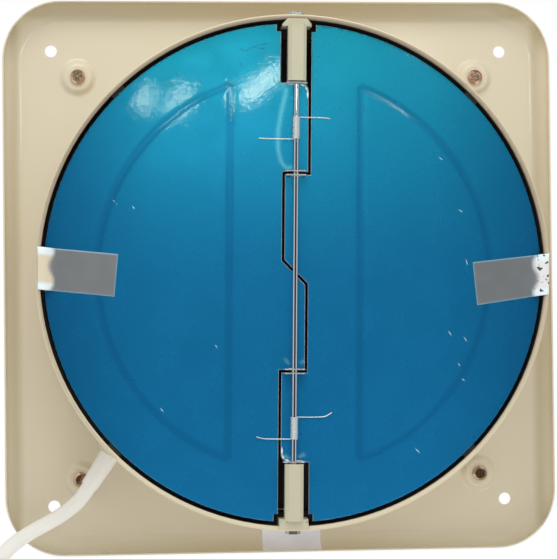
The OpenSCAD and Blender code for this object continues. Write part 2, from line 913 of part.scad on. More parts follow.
// Plastic post from the collar's inside to the rod's end, drawn for the top of the collar
module post() {
  foot_at = collar_r - foot_h;
  screw_boss_r = post_screw_r * 2;
  difference() {
    intersection() {
      union() {
        translate([0, foot_at + 1, rod_z])
          rotate([90, 0, 0])
            linear_extrude(height = foot_at + 1 - post_tip)
              post_section();
        translate([-foot_w / 2, foot_at, foot_z - foot_depth / 2])
          cube([foot_w, foot_h, foot_depth]);
        translate([0, collar_r, post_screw_z])
          rotate([90, 0, 0])
            cylinder(h = post_screw_len + 2, r = screw_boss_r);
      }
      cylinder(h = 2 * collar_h, r = collar_r - seat_gap);
    }
    translate([0, post_tip + rod_hole_depth, rod_z])
      rotate([90, 0, 0])
        cylinder(h = rod_hole_depth + 1, r = rod_r + run_gap);
    translate([0, collar_r + 1, post_screw_z])
      rotate([90, 0, 0])
        cylinder(h = post_screw_len + 1.5, r = post_screw_r + seat_gap);
    for (s = [-1, 1])
      translate([s * foot_w / 2, foot_at + foot_h / 2, foot_z + foot_depth / 2])
        rotate([0, 45, 0])
          cube([2.4, foot_h + 2, 2.4], center = true);
  }
}

// The upper post's foot narrows towards the collar
module upper_post() {
  color(cream) in_damper()
    difference() {
      post();
      for (s = [-1, 1])
        translate([s * foot_w / 2, collar_r, foot_z])
          rotate([0, 0, 45])
            cube([foot_chamfer * sqrt(2), foot_chamfer * sqrt(2), foot_depth + 2], center = true);
    }
}

// The lower post also has a lip over the collar's rim
module lower_post() {
  color(cream) in_damper()
    rotate([0, 0, 180]) {
      post();
      translate([-foot_w / 2, collar_r - foot_h / 2, collar_h + seat_gap])
        cube([foot_w, foot_h / 2 + foot_lip_w, foot_z + foot_depth / 2 - collar_h - seat_gap]);
    }
}

// Hex-head screws from outside the collar into the posts
module post_screws() {
  color("silver") in_damper()
    for (a = [0, 180]) rotate([0, 0, a])
      translate([0, collar_out_r + seat_gap, post_screw_z])
        rotate([-90, 0, 0]) {
          cylinder(h = post_head_h, r = post_head_r, $fn = 6);
          translate([0, 0, -post_screw_len])
            cylinder(h = post_screw_len + eps, r = post_screw_r);
        }
}

// Path of a spring's wire: a leg towards one flap, the curls, and a leg towards the other flap.
// Both legs leave the curls on the flaps' side of the rod.
function curl_path(curls, rise) = [
  for (i = [0:curls * spring_rings])
    let (a = 360 * i / spring_rings)
    [-spring_r * sin(a), -rise * i / spring_rings, -spring_r * cos(a)]
];

function leg_path(dir) = [
  [dir * leg_len, leg_rise, leg_z - rod_z],
  [dir * (leg_len - 1.5), leg_rise * 0.6, leg_z - rod_z],
  [dir * (leg_len - 4), leg_rise * 0.12, leg_z - rod_z],
  [dir * leg_len * 0.5, 0, leg_z - rod_z],
  [dir * 2.4, 0, -spring_r]
];

function spring_path(curls, rise) =
  let (drop = [0, -curls * rise, 0], far = leg_path(-1))
  concat(
    leg_path(1),
    curl_path(curls, rise),
    [for (i = [len(far) - 1:-1:0]) far[i] + drop]
  );

module spring(middle) {
  height = spring_curls * spring_pitch;
  path = spring_path(spring_curls, spring_pitch);
  echo(least_gap_of_spring = least_gap(curl_path(spring_curls, spring_pitch), wire_r, spring_rings - 2));
  translate([0, middle + height / 2, rod_z])
    tube(path, wire_r, spring_sides, [0, 1, 0]);
}

module upper_spring() {
  color("silver") in_damper()
    spring(upper_spring_y);
}

module lower_spring() {
  color("silver") in_damper()
    spring(lower_spring_y);
}

// Outline of the right flap, with the given distance to the seam's middle.
// The seam steps from side to side of the rod, so each flap has tongues that lie under it.
module flap_outline(gap, r) {
  outer = seam_outer + gap;
  inner = seam_inner;
  far = flap_r + 10;
  slant = gap * (sqrt(2) - 1);
  difference() {
    intersection() {
      circle(r);
      polygon([
        [outer, far],
        [outer, seam_step - gap],
        [gap - inner, seam_step - gap],
        [gap - inner, inner + slant],
        [inner + gap, slant - inner],
        [inner + gap, -seam_step - gap],
        [gap - seam_outer, -seam_step - gap],
        [gap - seam_outer, half_seam - gap - tongue_end + tongue_corner_r],
        [gap - seam_outer + tongue_corner_r, half_seam - gap - tongue_end + tongue_corner_r],
        [gap - seam_outer + tongue_corner_r, gap - half_seam - tongue_end],
        [outer, gap - half_seam - tongue_end],
        [outer, -far],
        [far, -far],
        [far, far]
      ]);
    }
    for (s = [-1, 1])
      translate([outer - 1, s * (corner_notch_y + 10) - 10])
        square([corner_notch + 1, 20]);
  }
  translate([gap - seam_outer + tongue_corner_r, gap - half_seam - tongue_end + tongue_corner_r])
    circle(tongue_corner_r);
}

// D-shaped band along the groove of the right flap
module groove_band(w) {
  difference() {
    intersection() {
      circle(groove_arc_r + w / 2);
      translate([groove_line_x - w / 2, -flap_r])
        square([flap_r, 2 * flap_r]);
    }
    intersection() {
      circle(groove_arc_r - w / 2);
      translate([groove_line_x + w / 2, -flap_r])
        square([flap_r, 2 * flap_r]);
    }
  }
}

// Bent ear across the end of a tongue, whose inner side is at the given height, with the rod's hole
module ear(at) {
  round_r = 2.5;
  top = flap_top + ear_h;
  translate([0, at + flap_sheet, 0])
    rotate([90, 0, 0])
      linear_extrude(height = flap_sheet)
        difference() {
          union() {
            translate([-ear_w / 2, flap_bottom])
              square([ear_w, top - round_r - flap_bottom]);
            translate([-ear_w / 2 + round_r, flap_bottom])
              square([ear_w - 2 * round_r, top - flap_bottom]);
            for (s = [-1, 1])
              translate([s * (ear_w / 2 - round_r), top - round_r])
                circle(round_r);
          }
          translate([0, rod_z])
            circle(ear_hole_r);
        }
}

// Heights of the inner sides of the right flap's three ears
function ear_heights() = [
  seam_step - half_seam - flap_sheet,
  -seam_step - half_seam - flap_sheet,
  -tongue_end
];

// Aluminium flap with a pressed groove and three ears on the rod
module flap() {
  difference() {
    union() {
      translate([0, 0, flap_bottom])
        linear_extrude(height = flap_sheet)
          flap_outline(half_seam, flap_r);
      translate([0, 0, flap_bottom - groove_depth])
        linear_extrude(height = groove_depth + flap_sheet / 2)
          groove_band(groove_w + 2 * flap_sheet);
      for (at = ear_heights())
        ear(at);
    }
    translate([0, 0, flap_top - groove_depth])
      linear_extrude(height = groove_depth + 1)
        groove_band(groove_w);
  }
}

module right_flap() {
  color(sheet_silver) in_damper()
    flap();
}

module left_flap() {
  color(sheet_silver) in_damper()
    rotate([0, 0, 180])
      flap();
}

// Blue film on the outer face of a flap, cut out round the ears
module film() {
  difference() {
    union() {
      translate([0, 0, flap_top])
        linear_extrude(height = film_t)
          difference() {
            flap_outline(half_seam + film_inset, flap_r - film_inset);
            for (at = ear_heights())
              translate([-ear_w / 2 - 0.1, at - 0.1])
                square([ear_w + 0.2, flap_sheet + 1]);
          }
      translate([0, 0, flap_top - groove_depth])
        linear_extrude(height = groove_depth + film_t / 2)
          groove_band(groove_w);
    }
    translate([0, 0, flap_top - groove_depth + film_t])
      linear_extrude(height = groove_depth + 1)
        groove_band(groove_w - 2 * film_t);
  }
}

module right_film() {
  color(film_blue) in_damper()
    film();
}

module left_film() {
  color(film_blue) in_damper()
    rotate([0, 0, 180])
      film();
}

// Strip of transit tape from a flap's film over the collar's rim, with its outer end free
module transit_tape(len_on_flap, y_middle, tilt, width) {
  t = film_t;
  over = collar_h + free_gap;
  start = hem_r + 0.7;
  translate([0, y_middle, 0])
    rotate([0, 0, tilt])
      rotate([90, 0, 0])
        linear_extrude(height = width, center = true)
          polygon([
            [flap_r - len_on_flap, film_top],
            [flap_r - 5.5, film_top],
            [collar_r - 1.4, over],
            [start, over],
            [start, over + t],
            [collar_r - 1.6, over + t],
            [flap_r - 5.7, film_top + t],
            [flap_r - len_on_flap, film_top + t]
          ]);
}

module right_tape() {
  color("lightgray") in_damper()
    transit_tape(34.5, -4.2, 2, 21);
}

module left_tape() {
  color("lightgray") in_damper()
    rotate([0, 0, 180])
      transit_tape(36.5, 1.5, -3.75, 22);
}

// Blank strip of pale tape from under the collar's rim over the panel's lower edge
module edge_tape() {
  tape_w = 32;
  t = film_t;
  bend_r = panel_bend_r - panel_sheet;
  flat_to = corner_at + flat_r;
  color("gainsboro") stood()
    translate([5 - tape_w / 2, 0, 0])
      rotate([90, 0, 90])
        linear_extrude(height = tape_w) {
          translate([-flat_to, 0])
            square([flat_to - hem_r - 1, t]);
          translate([-flat_to, bend_z])
            difference() {
              intersection() {
                circle(bend_r);
                translate([-bend_r, -bend_r])
                  square(bend_r);
              }
              circle(bend_r - t);
            }
        }
}

// Rubber grommet that grips the collar's wall round the strain relief
module cord_grommet() {
  color("dimgray") stood()
    difference() {
      at_exit()
        difference() {
          translate([0, 0, -grommet_half])
            cylinder(h = 2 * grommet_half, r = grommet_r);
          translate([0, 0, -grommet_half - 1])
            cylinder(h = 2 * grommet_half + 2, r = relief_r + seat_gap);
        }
      difference() {
        translate([0, 0, cord_exit_z - grommet_r - 1])
          cylinder(h = 2 * grommet_r + 2, r = collar_out_r + seat_gap);
        translate([0, 0, cord_exit_z - grommet_r - 2])
          cylinder(h = 2 * grommet_r + 4, r = collar_r - seat_gap);
        at_exit()
          translate([0, 0, -2 * grommet_half])
            cylinder(h = 4 * grommet_half, r = grommet_hole_r - seat_gap);
      }
    }
}

// Tapered sleeve that keeps the cord from kinking at the collar
module cord_relief() {
  straight = grommet_half + 1;
  color("whitesmoke") stood()
    at_exit() {
      translate([0, 0, -relief_in])
        cylinder(h = relief_in + straight, r = relief_r);
      translate([0, 0, straight])
        cylinder(h = relief_len - straight, r1 = relief_r, r2 = relief_end_r);
    }
}

// Cord from the grommet to the terminal box, along one smooth curve
module inner_lead() {
  steps = 10;
  entry_r = motor_r + box_depth;
  lead_reach = 26;
  heading = [-cos(cord_angle), -sin(cord_angle), 0];
  inward = [-cos(225), -sin(225), 0];
  end = [entry_r * cos(225), entry_r * sin(225), box_z + 3];
  b = lead_start + lead_reach * heading;
  c = end - lead_reach * inward;
  path = concat(
    [lead_start, lead_start + 1 * heading],
    [for (i = [1:steps - 1])
      let (t = i / steps, s = 1 - t)
      s * s * s * lead_start + 3 * s * s * t * b + 3 * s * t * t * c + t * t * t * end],
    [end - 1 * inward, end]
  );
  color("whitesmoke") stood()
    tube(path, cord_r, 8, [0, 0, 1]);
}

// Free stretch of the power cord
module mains_cord() {
  color("whitesmoke") stood()
    tube(cord_route, cord_r, 8, [0, 0, 1]);
}

// Path of the coil: it spirals in on the outdoor layer, climbs over, and spirals out on the other
function coil_path() =
  let (n = round(coil_rings * (2 * coil_turns + coil_extra)))
  concat(
    [coil_in - cord_d * coil_heading],
    [for (i = [0:n])
      let (
        t = (2 * coil_turns + coil_extra) * i / n,
        r = coil_inner_r + coil_pitch * abs(t - coil_turns),
        a = coil_entry + 360 * t,
        climb = min(max((t - coil_turns + 0.25) / 0.5, 0), 1),
        level = 1 - 2 * climb * climb * (3 - 2 * climb)
      )
      [coil_x + r * cos(a), coil_y + r * sin(a), coil_z * level]],
    [[coil_end_x, coil_end_y, -coil_z]]
  );

// Spare cord wound into a coil of two layers
module cord_coil() {
  path = coil_path();
  echo(least_gap_of_coil = least_gap(path, cord_r, coil_rings / 2));
  color("whitesmoke") stood()
    tube(path, cord_r, coil_sides, [0, 0, 1]);
}

// Band round the coil's turns
module cord_tie() {
  band = 1.2;
  band_h = 6;
  low_x = coil_end_x - cord_r - free_gap;
  high_x = coil_x - coil_inner_r + cord_r + free_gap;
  half_z = coil_z + cord_r + free_gap;
  color("black") stood()
    translate([0, coil_y - band_h / 2, 0])
      difference() {
        translate([low_x - band, 0, -half_z - band])
          cube([high_x - low_x + 2 * band, band_h, 2 * (half_z + band)]);
        translate([low_x, -1, -half_z])
          cube([high_x - low_x, band_h + 2, 2 * half_z]);
      }
}

// Moulded plug body with a tapered neck
module plug_body() {
  color("whitesmoke") stood()
    translate([coil_end_x, coil_end_y, -coil_z])
      rotate([90, 0, 0])
        intersection() {
          union() {
            cylinder(h = plug_neck_len, r1 = plug_neck_r, r2 = plug_shoulder_r);
            translate([0, 0, plug_neck_len])
              cylinder(h = plug_body_len * 0.6, r1 = plug_shoulder_r + 3, r2 = plug_face_r);
            translate([0, 0, plug_neck_len + plug_body_len * 0.6])
              cylinder(h = plug_body_len * 0.4, r = plug_face_r);
          }
          translate([-plug_face_r - 1, -plug_half_depth, 0])
            cube([2 * plug_face_r + 2, 2 * plug_half_depth, plug_neck_len + plug_body_len]);
        }
}

// Flat pins: two slanted line pins and a longer earth pin
module plug_pins() {
  face = plug_neck_len + plug_body_len;
  color("silver") stood()
    translate([coil_end_x, coil_end_y, -coil_z])
      rotate([90, 0, 0])
        translate([0, 0, face]) {
          for (s = [-1, 1])
            translate([s * 6.9, 3.6, 0])
              rotate([0, 0, s * 60])
                translate([-pin_w / 2, -pin_t / 2, 0])
                  cube([pin_w, pin_t, line_pin_len]);
          translate([-pin_t / 2, -10.3 - pin_w / 2 + 3.6, 0])
            cube([pin_t, pin_w, earth_pin_len]);
        }
}

front_panel();
duct_collar();
guard_spokes();
guard_rings();
guard_screws();
motor_front_shell();
motor_rear_shell();
stator_core();
stator_windings();
front_bearing();
rear_bearing();
motor_bolts();
motor_nuts();
terminal_box();
rotor();
motor_shaft();
thrust_washers();
impeller();
drive_pin();
impeller_nut();
hinge_rod();
upper_post();
lower_post();
post_screws();
upper_spring();
lower_spring();
left_flap();
right_flap();
left_film();
right_film();
left_tape();
right_tape();
edge_tape();
cord_grommet();
cord_relief();
inner_lead();
mains_cord();
cord_coil();
cord_tie();
plug_body();
plug_pins();
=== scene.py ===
import math
import random

import bmesh
import bpy
import numpy as np
from mathutils import Matrix, Quaternion, Vector


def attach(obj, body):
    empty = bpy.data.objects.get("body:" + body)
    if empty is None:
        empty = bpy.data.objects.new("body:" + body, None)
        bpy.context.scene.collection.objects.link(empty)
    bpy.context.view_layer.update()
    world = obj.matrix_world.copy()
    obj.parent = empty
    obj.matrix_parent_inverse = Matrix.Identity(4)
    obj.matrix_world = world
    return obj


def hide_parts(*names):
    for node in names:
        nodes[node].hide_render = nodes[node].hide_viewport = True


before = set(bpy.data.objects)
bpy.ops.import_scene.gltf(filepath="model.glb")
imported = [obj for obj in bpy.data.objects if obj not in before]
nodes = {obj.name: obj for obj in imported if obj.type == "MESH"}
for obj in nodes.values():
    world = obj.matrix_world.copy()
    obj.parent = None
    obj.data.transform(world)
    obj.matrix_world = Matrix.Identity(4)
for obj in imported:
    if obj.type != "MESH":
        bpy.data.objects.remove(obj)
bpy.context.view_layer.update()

# Sizes are in millimetres and drawn lying down, as the part is: x right, y up, z outdoors
MM = 0.001
DAMPER_TURN = math.radians(1)

PANEL_BEND = 144
PANEL_BEND_W = 5
COLLAR_RIM_Z = 90
COLLAR_R = 129
COLLAR_OUT_R = 129.8
LIP_R = 0.8
LIP_Z = 3
LIP_SUNK = 0.6

ROD_Z = 89
FLAP_R = 126.9
FLAP_TOP = 86.5
FILM_TOP = 86.65
FILM_INSET = 0.2
HALF_SEAM = 0.7
SEAM_OUTER = 7.15
SEAM_INNER = 6.05
SEAM_STEP = 50.35
TONGUE_END = 96.6
TONGUE_CORNER_R = 4
CORNER_NOTCH = 2.2
CORNER_NOTCH_Y = 122.8
GROOVE_ARC_R = 100.5
GROOVE_LINE_X = 33.5
GROOVE_HALF_W = 2.1
GROOVE_DIP = 0.08

SPRING_R = 1.7
WIRE_R = 0.3
SPRING_CURLS = 18
SPRING_PITCH = 0.62
UPPER_SPRING_Y = 73.4
LOWER_SPRING_Y = -79.2

CORD_D = 8
CORD_EXIT_AT = math.radians(225)
CORD_EXIT_Z = 21.5
CORD_ANGLE = math.radians(236.2)
RELIEF_LEN = 24
COIL_X = -162
COIL_Y = -256
COIL_PITCH = 8.5
COIL_INNER_R = 35
COIL_TURNS = 2
COIL_ENTRY = math.radians(150)


def stood(x, y, z):
    """A point drawn lying down, in the row frame in metres."""
    return Vector((x, -z, y)) * MM


def damper(x, y, z):
    """The same for the damper, whose upright is turned a little in the collar."""
    c, s = math.cos(DAMPER_TURN), math.sin(DAMPER_TURN)
    return stood(c * x + s * y, c * y - s * x, z)


def held(t):
    """A number kept between 0 and 1."""
    return min(max(t, 0), 1)


def smooth_step(t):
    """From 0 to 1 as t does, with level ends."""
    t = held(t)
    return t * t * (3 - 2 * t)


# Camera: where the photograph was taken from, with its long lens
CAMERA_AT = Vector((-0.10507, -1.14914, -0.02824))
CAMERA_YAW = math.radians(5.2)
CAMERA_PITCH = math.radians(1.32)
CAMERA_ROLL = math.radians(-0.594)
FOCAL_PX = 2099
IMAGE_W_PX = 557


def make_camera():
    data = bpy.data.cameras.new("camera")
    data.sensor_fit = "HORIZONTAL"
    data.sensor_width = 36
    data.lens = FOCAL_PX / IMAGE_W_PX * data.sensor_width
    data.clip_start = 0.05
    data.clip_end = 20
    yaw, pitch, roll = CAMERA_YAW, CAMERA_PITCH, CAMERA_ROLL
    ahead = Vector((math.sin(yaw) * math.cos(pitch), math.cos(yaw) * math.cos(pitch), math.sin(pitch)))
    right = Vector((math.cos(yaw), -math.sin(yaw), 0))
    up = right.cross(ahead)
    side = math.cos(roll) * right + math.sin(roll) * up
    top = -math.sin(roll) * right + math.cos(roll) * up
    turned = Matrix((side, top, -ahead)).transposed().to_4x4()
    camera = bpy.data.objects.new("camera", data)
    camera.matrix_world = Matrix.Translation(CAMERA_AT) @ turned
    bpy.context.scene.collection.objects.link(camera)
    bpy.context.scene.camera = camera


def make_light(name, place, target, size, power, turn=0, colour=(1, 1, 1)):
    """An oval lamp in watts, turned by some degrees about its own beam."""
    data = bpy.data.lights.new(name, "AREA")
    data.shape = "ELLIPSE"
    data.size, data.size_y = size
    data.energy = power
    data.color = colour
    lamp = bpy.data.objects.new(name, data)
    lamp.location = place
    lamp.rotation_mode = "QUATERNION"
    facing = (Vector(target) - Vector(place)).to_track_quat("-Z", "Y")
    lamp.rotation_quaternion = facing @ Quaternion((0, 0, 1), math.radians(turn))
    bpy.context.scene.collection.objects.link(lamp)


# Material nodes
def linear(r, g, b):
    """A colour as it looks, from 0 to 255, in the shader's own values."""
    def channel(v):
        v = v / 255
        return v / 12.92 if v <= 0.04045 else ((v + 0.055) / 1.055) ** 2.4
    return (channel(r), channel(g), channel(b), 1)


def shade(colour, factor):
    return tuple(min(1, c * factor) for c in colour[:3]) + (1,)


def add(tree, kind, inputs=None, **settings):
    """A new node with its settings, whose inputs are values or other nodes' outputs."""
    made = tree.nodes.new(kind)
    for name, value in settings.items():
        setattr(made, name, value)
    for name, value in (inputs or {}).items():
        socket = made.inputs[name]
        if isinstance(value, bpy.types.NodeSocket):
            tree.links.new(value, socket)
        else:
            socket.default_value = value
    return made


def place_of(tree):
    """Where a point is in the object's own space, in metres."""
    return add(tree, "ShaderNodeTexCoord").outputs["Object"]


def axes_of(tree, vector):
    return add(tree, "ShaderNodeSeparateXYZ", {"Vector": vector}).outputs


def noise_of(tree, scale, stretch=(1, 1, 1), detail=3):
    """Noise in the object's own space, with scale in waves per metre."""
    spread = add(tree, "ShaderNodeMapping", {"Vector": place_of(tree), "Scale": stretch})
    texture = add(tree, "ShaderNodeTexNoise",
                  {"Vector": spread.outputs["Vector"], "Scale": scale, "Detail": detail})
    return texture.outputs["Fac"]


def ramp_of(tree, factor, stops):
    made = add(tree, "ShaderNodeValToRGB", {"Fac": factor})
    elements = made.color_ramp.elements
    while len(elements) < len(stops):
        elements.new(0.5)
    for element, (position, colour) in zip(elements, stops):
        element.position = position
        element.color = colour
    return made.outputs["Color"]


def ranged(tree, value, low, high, to_low=0.0, to_high=1.0, **settings):
    """A value taken from low..high to to_low..to_high, and held at both ends."""
    ends = {"Value": value, "From Min": low, "From Max": high, "To Min": to_low, "To Max": to_high}
    return add(tree, "ShaderNodeMapRange", ends, **settings).outputs["Result"]


def worked(tree, operation, *values):
    """One step of arithmetic."""
    return add(tree, "ShaderNodeMath", dict(enumerate(values)), operation=operation).outputs["Value"]


def mixed(tree, factor, a, b):
    """Colour a, which goes over to colour b as the factor rises to 1."""
    made = add(tree, "ShaderNodeMix", {"Factor": factor, "A": a, "B": b}, data_type="RGBA")
    return made.outputs["Result"]


def marked(tree, label):
    """A value that the mesh carries on its points."""
    return add(tree, "ShaderNodeAttribute", attribute_name=label).outputs["Fac"]


def bumped(tree, scale, height, stretch=(1, 1, 1), detail=3):
    """A surface roughened by noise, with its height in mm."""
    grain = noise_of(tree, scale, stretch, detail)
    bump = add(tree, "ShaderNodeBump", {"Height": grain, "Strength": 1.0, "Distance": height * MM})
    return bump.outputs["Normal"]


def new_material(name, sockets):
    """A material, its node tree, and its shader with plain numbers on the given sockets."""
    material = bpy.data.materials.new(name)
    material.use_nodes = True
    tree = material.node_tree
    shader = tree.nodes["Principled BSDF"]
    for socket, value in sockets.items():
        shader.inputs[socket].default_value = value
    return material, tree, shader


def make_material(name, colour, roughness, patch=14, spread=0.05, grain=700, bump=0.02,
                  stretch=(1, 1, 1), rough_spread=0.06, sockets=None):
    """A finish whose colour and gloss vary softly, with a fine grain in its surface."""
    material, tree, shader = new_material(name, sockets or {})
    cloud = noise_of(tree, patch, detail=4)
    tint = ramp_of(tree, cloud, [(0.3, shade(colour, 1 - spread)), (0.7, shade(colour, 1 + spread))])
    tree.links.new(tint, shader.inputs["Base Color"])
    gloss = ranged(tree, noise_of(tree, patch * 5, stretch), 0.3, 0.7,
                   max(0.02, roughness - rough_spread), roughness + rough_spread)
    tree.links.new(gloss, shader.inputs["Roughness"])
    tree.links.new(bumped(tree, grain, bump, stretch), shader.inputs["Normal"])
    return material


def opened(material):
    """A finished material's node tree, the socket of its colour, and what goes in there."""
    tree = material.node_tree
    colour_socket = tree.nodes["Principled BSDF"].inputs["Base Color"]
    return tree, colour_socket, colour_socket.links[0].from_socket


# Blue film: shares of its clouds, and of the painted shade on its outer part and from where on that starts
FILM_CLOUD = 0.12
FILM_EDGE_SHADE = 0.7
FILM_EDGE_SHADE_FROM = 0.55


def make_film_material():
    """Blue film on bright metal: a satin blue, under a clear pimpled face that sparkles in a lamp. Its
    colour carries a painted highlight towards the top and along creases, and painted shade towards the
    collar and in the pressed bead.
    """
    material, tree, shader = new_material("blue_film", {
        "Metallic": 0.5, "Specular IOR Level": 0.1, "Coat Weight": 0.17, "Coat Roughness": 0.03})
    axes = axes_of(tree, place_of(tree))
    # Painted highlight: lighter and more teal towards the top, where the lamps' light falls
    painted_top_light = ranged(tree, axes["Z"], -FLAP_R * MM, FLAP_R * MM)
    cloud = ranged(tree, noise_of(tree, 12, (1, 1, 0.35), detail=5), 0.0, 1.0, -FILM_CLOUD, FILM_CLOUD)
    colour = ramp_of(tree, worked(tree, "ADD", painted_top_light, cloud), [
        (0.0, linear(22, 126, 187)),
        (0.5, linear(22, 124, 180)),
        (0.75, linear(23, 136, 180)),
        (1.0, linear(25, 148, 177))])
    # Painted highlight along the film's creases
    colour = mixed(tree, marked(tree, "crease_highlight"), colour, linear(140, 225, 240))
    # Painted shade: darker towards the collar
    outward = worked(tree, "MULTIPLY", axes["X"], axes["X"])
    edge_shade = ranged(tree, outward, (FILM_EDGE_SHADE_FROM * FLAP_R * MM) ** 2, (FLAP_R * MM) ** 2, 0.0, FILM_EDGE_SHADE)
    colour = mixed(tree, edge_shade, colour, linear(16, 92, 146))
    # Painted shade in the pressed bead
    colour = mixed(tree, marked(tree, "bead"), colour, linear(14, 84, 140))
    tree.links.new(colour, shader.inputs["Base Color"])
    gloss = ranged(tree, noise_of(tree, 60), 0.0, 1.0, 0.22, 0.32)
    tree.links.new(gloss, shader.inputs["Roughness"])
    tree.links.new(bumped(tree, 60, 0.03, detail=2), shader.inputs["Normal"])
    tree.links.new(bumped(tree, 700, 0.012, detail=1), shader.inputs["Coat Normal"])
    return material


def make_tape_material(name, colour, end_colour, specks_from):
    """Grey plastic tape with bluish edges, and a pale speckled end where it is pulled off the collar, whose
    corners carry a painted highlight.

    specks_from is the height of the noise from which on there are specks: at 1 there are none."""
    material = make_material(name, colour, 0.34, patch=90, spread=0.07, bump=0.04,
                             sockets={"Coat Weight": 0.25, "Coat Roughness": 0.1})
    tree, colour_socket, plain = opened(material)
    pale = marked(tree, "pale")
    colour = mixed(tree, pale, plain, end_colour)
    edge = mixed(tree, pale, linear(120, 176, 214), linear(226, 238, 246))
    # Bluish edges, and a painted highlight on the corners of the pale end
    colour = mixed(tree, marked(tree, "bright"), colour, edge)
    dots = ranged(tree, noise_of(tree, 450, detail=1), specks_from, specks_from + 0.05)
    specks = worked(tree, "MULTIPLY", dots, pale)
    tree.links.new(mixed(tree, specks, colour, linear(58, 58, 60)), colour_socket)
    return material


# Collar: depth and radii between which its hem carries painted shade, heights between which that shade
# fades downwards to a share, and radii between which the painted shade of its dark inside starts
RIM_DEPTH = 0.8
HEM_SHADE_R = (COLLAR_R + 2.1, COLLAR_R + 1.3)
HEM_SHADE_FADE = (-100, 40)
HEM_SHADE_SHARE = 0.15
DUCT_SHADE_R = (COLLAR_R + 0.4, COLLAR_R + 0.3)


def make_collar_material():
    """Cream enamel outside, with painted shade: greyer on the hem's inner part and dark down inside the
    duct.
    """
    material = make_material("collar_enamel", linear(216, 206, 181), 0.45, patch=5, spread=0.008,
                             bump=0.006, sockets={"Specular IOR Level": 0.0})
    tree, colour_socket, plain = opened(material)
    place = place_of(tree)
    axes = axes_of(tree, place)
    flat = add(tree, "ShaderNodeVectorMath", {0: place, 1: (1, 0, 1)}, operation="MULTIPLY")
    radius = add(tree, "ShaderNodeVectorMath", {0: flat.outputs["Vector"]}, operation="LENGTH")
    radius = radius.outputs["Value"]
    at_rim = ranged(tree, axes["Y"], -FLAP_TOP * MM, -(FLAP_TOP + RIM_DEPTH) * MM)
    # Painted shade on the hem's inner part, strongest at the top, where it faces down
    hem = ranged(tree, radius, *(r * MM for r in HEM_SHADE_R))
    upper = ranged(tree, axes["Z"], *(z * MM for z in HEM_SHADE_FADE), HEM_SHADE_SHARE)
    hem_shade = worked(tree, "MULTIPLY", worked(tree, "MULTIPLY", at_rim, hem), upper)
    # Painted shade: dark down inside the duct, where little light gets in
    inside = ranged(tree, radius, *(r * MM for r in DUCT_SHADE_R))
    duct_shade = ranged(tree, at_rim, 0.0, 1.0, inside, 0.0)
    colour = mixed(tree, hem_shade, plain, linear(168, 154, 136))
    tree.links.new(mixed(tree, duct_shade, colour, linear(62, 58, 54)), colour_socket)
    return material


PANEL_SHADE = 0.55


def make_panel_material():
    """Glossy cream enamel, with painted shade along the bend inside the raised top and sides, and on the
    top rim.
    """
    material = make_material("cream_enamel", linear(216, 207, 187), 0.3, patch=5, spread=0.008, bump=0.006,
                             rough_spread=0.03, sockets={"Coat Weight": 0.3, "Coat Roughness": 0.12})
    tree, colour_socket, plain = opened(material)
    place = place_of(tree)
    up = axes_of(tree, place)["Z"]
    # Painted shade in the bend inside the raised rim, and on the top rim, which faces down
    sides = add(tree, "ShaderNodeVectorMath", {0: place}, operation="ABSOLUTE").outputs["Vector"]
    out = worked(tree, "MAXIMUM", axes_of(tree, sides)["X"], up)
    from_bend = worked(tree, "ABSOLUTE", worked(tree, "SUBTRACT", out, PANEL_BEND * MM))
    bend = ranged(tree, from_bend, 0.0, PANEL_BEND_W * MM, PANEL_SHADE, 0.0, interpolation_type="SMOOTHSTEP")
    top_rim = ranged(tree, up, PANEL_BEND * MM, (PANEL_BEND + 1) * MM, 0.0, PANEL_SHADE)
    painted_shade = worked(tree, "MAXIMUM", bend, top_rim)
    tree.links.new(mixed(tree, painted_shade, plain, linear(178, 166, 138)), colour_socket)
    return material


def make_stage_material():
    """A white floor that takes the object's shadow."""
    material, tree, shader = new_material("stage_white", {"Roughness": 0.9})
    tint = ramp_of(tree, noise_of(tree, 3), [(0.3, linear(250, 250, 249)), (0.7, linear(255, 255, 254))])
    tree.links.new(tint, shader.inputs["Base Color"])
    return material


METAL = {"Metallic": 1.0}
enamel = make_panel_material()
collar_enamel = make_collar_material()
white_wire = make_material("white_wire", linear(222, 220, 210), 0.35, bump=0.02,
                           sockets={"Coat Weight": 0.3})
yellow_zinc = make_material("yellow_zinc", linear(196, 164, 140), 0.16, patch=300, spread=0.15, grain=300,
                            sockets=METAL)
motor_paint = make_material("motor_shell", linear(150, 150, 146), 0.45, sockets={"Metallic": 0.5})
core_steel = make_material("core_steel", linear(96, 96, 98), 0.4, grain=2500, stretch=(1, 60, 1),
                           bump=0.05, sockets=METAL)
copper = make_material("copper_wire", linear(170, 92, 52), 0.35, grain=1500, bump=0.2, sockets=METAL)
bronze = make_material("bearing_bronze", linear(176, 140, 88), 0.4, sockets=METAL)
zinc_steel = make_material("zinc_steel", linear(168, 168, 170), 0.2, patch=60, spread=0.05,
                           rough_spread=0.03, bump=0.002, sockets=METAL)
rod_steel = make_material("rod_steel", linear(196, 197, 200), 0.08, patch=40, spread=0.03, grain=300,
                          bump=0.001, rough_spread=0.02, sockets=METAL)
spring_steel = make_material("spring_steel", linear(206, 214, 216), 0.3, patch=80, spread=0.05,
                             bump=0.002, sockets={"Metallic": 0.6})
black_plastic = make_material("black_plastic", linear(34, 34, 35), 0.55, grain=2200, bump=0.03)
washer_plastic = make_material("washer_plastic", linear(224, 220, 204), 0.5)
impeller_paint = make_material("impeller_paint", linear(38, 39, 41), 0.4, sockets={"Coat Weight": 0.2})
cream_plastic = make_material("cream_plastic", linear(190, 186, 163), 0.4, patch=60, spread=0.02,
                              sockets={"Coat Weight": 0.15})
flap_metal = make_material("flap_aluminium", linear(214, 216, 220), 0.4, grain=900, stretch=(1, 1, 30),
                           bump=0.03, sockets=METAL)
blue_film = make_film_material()
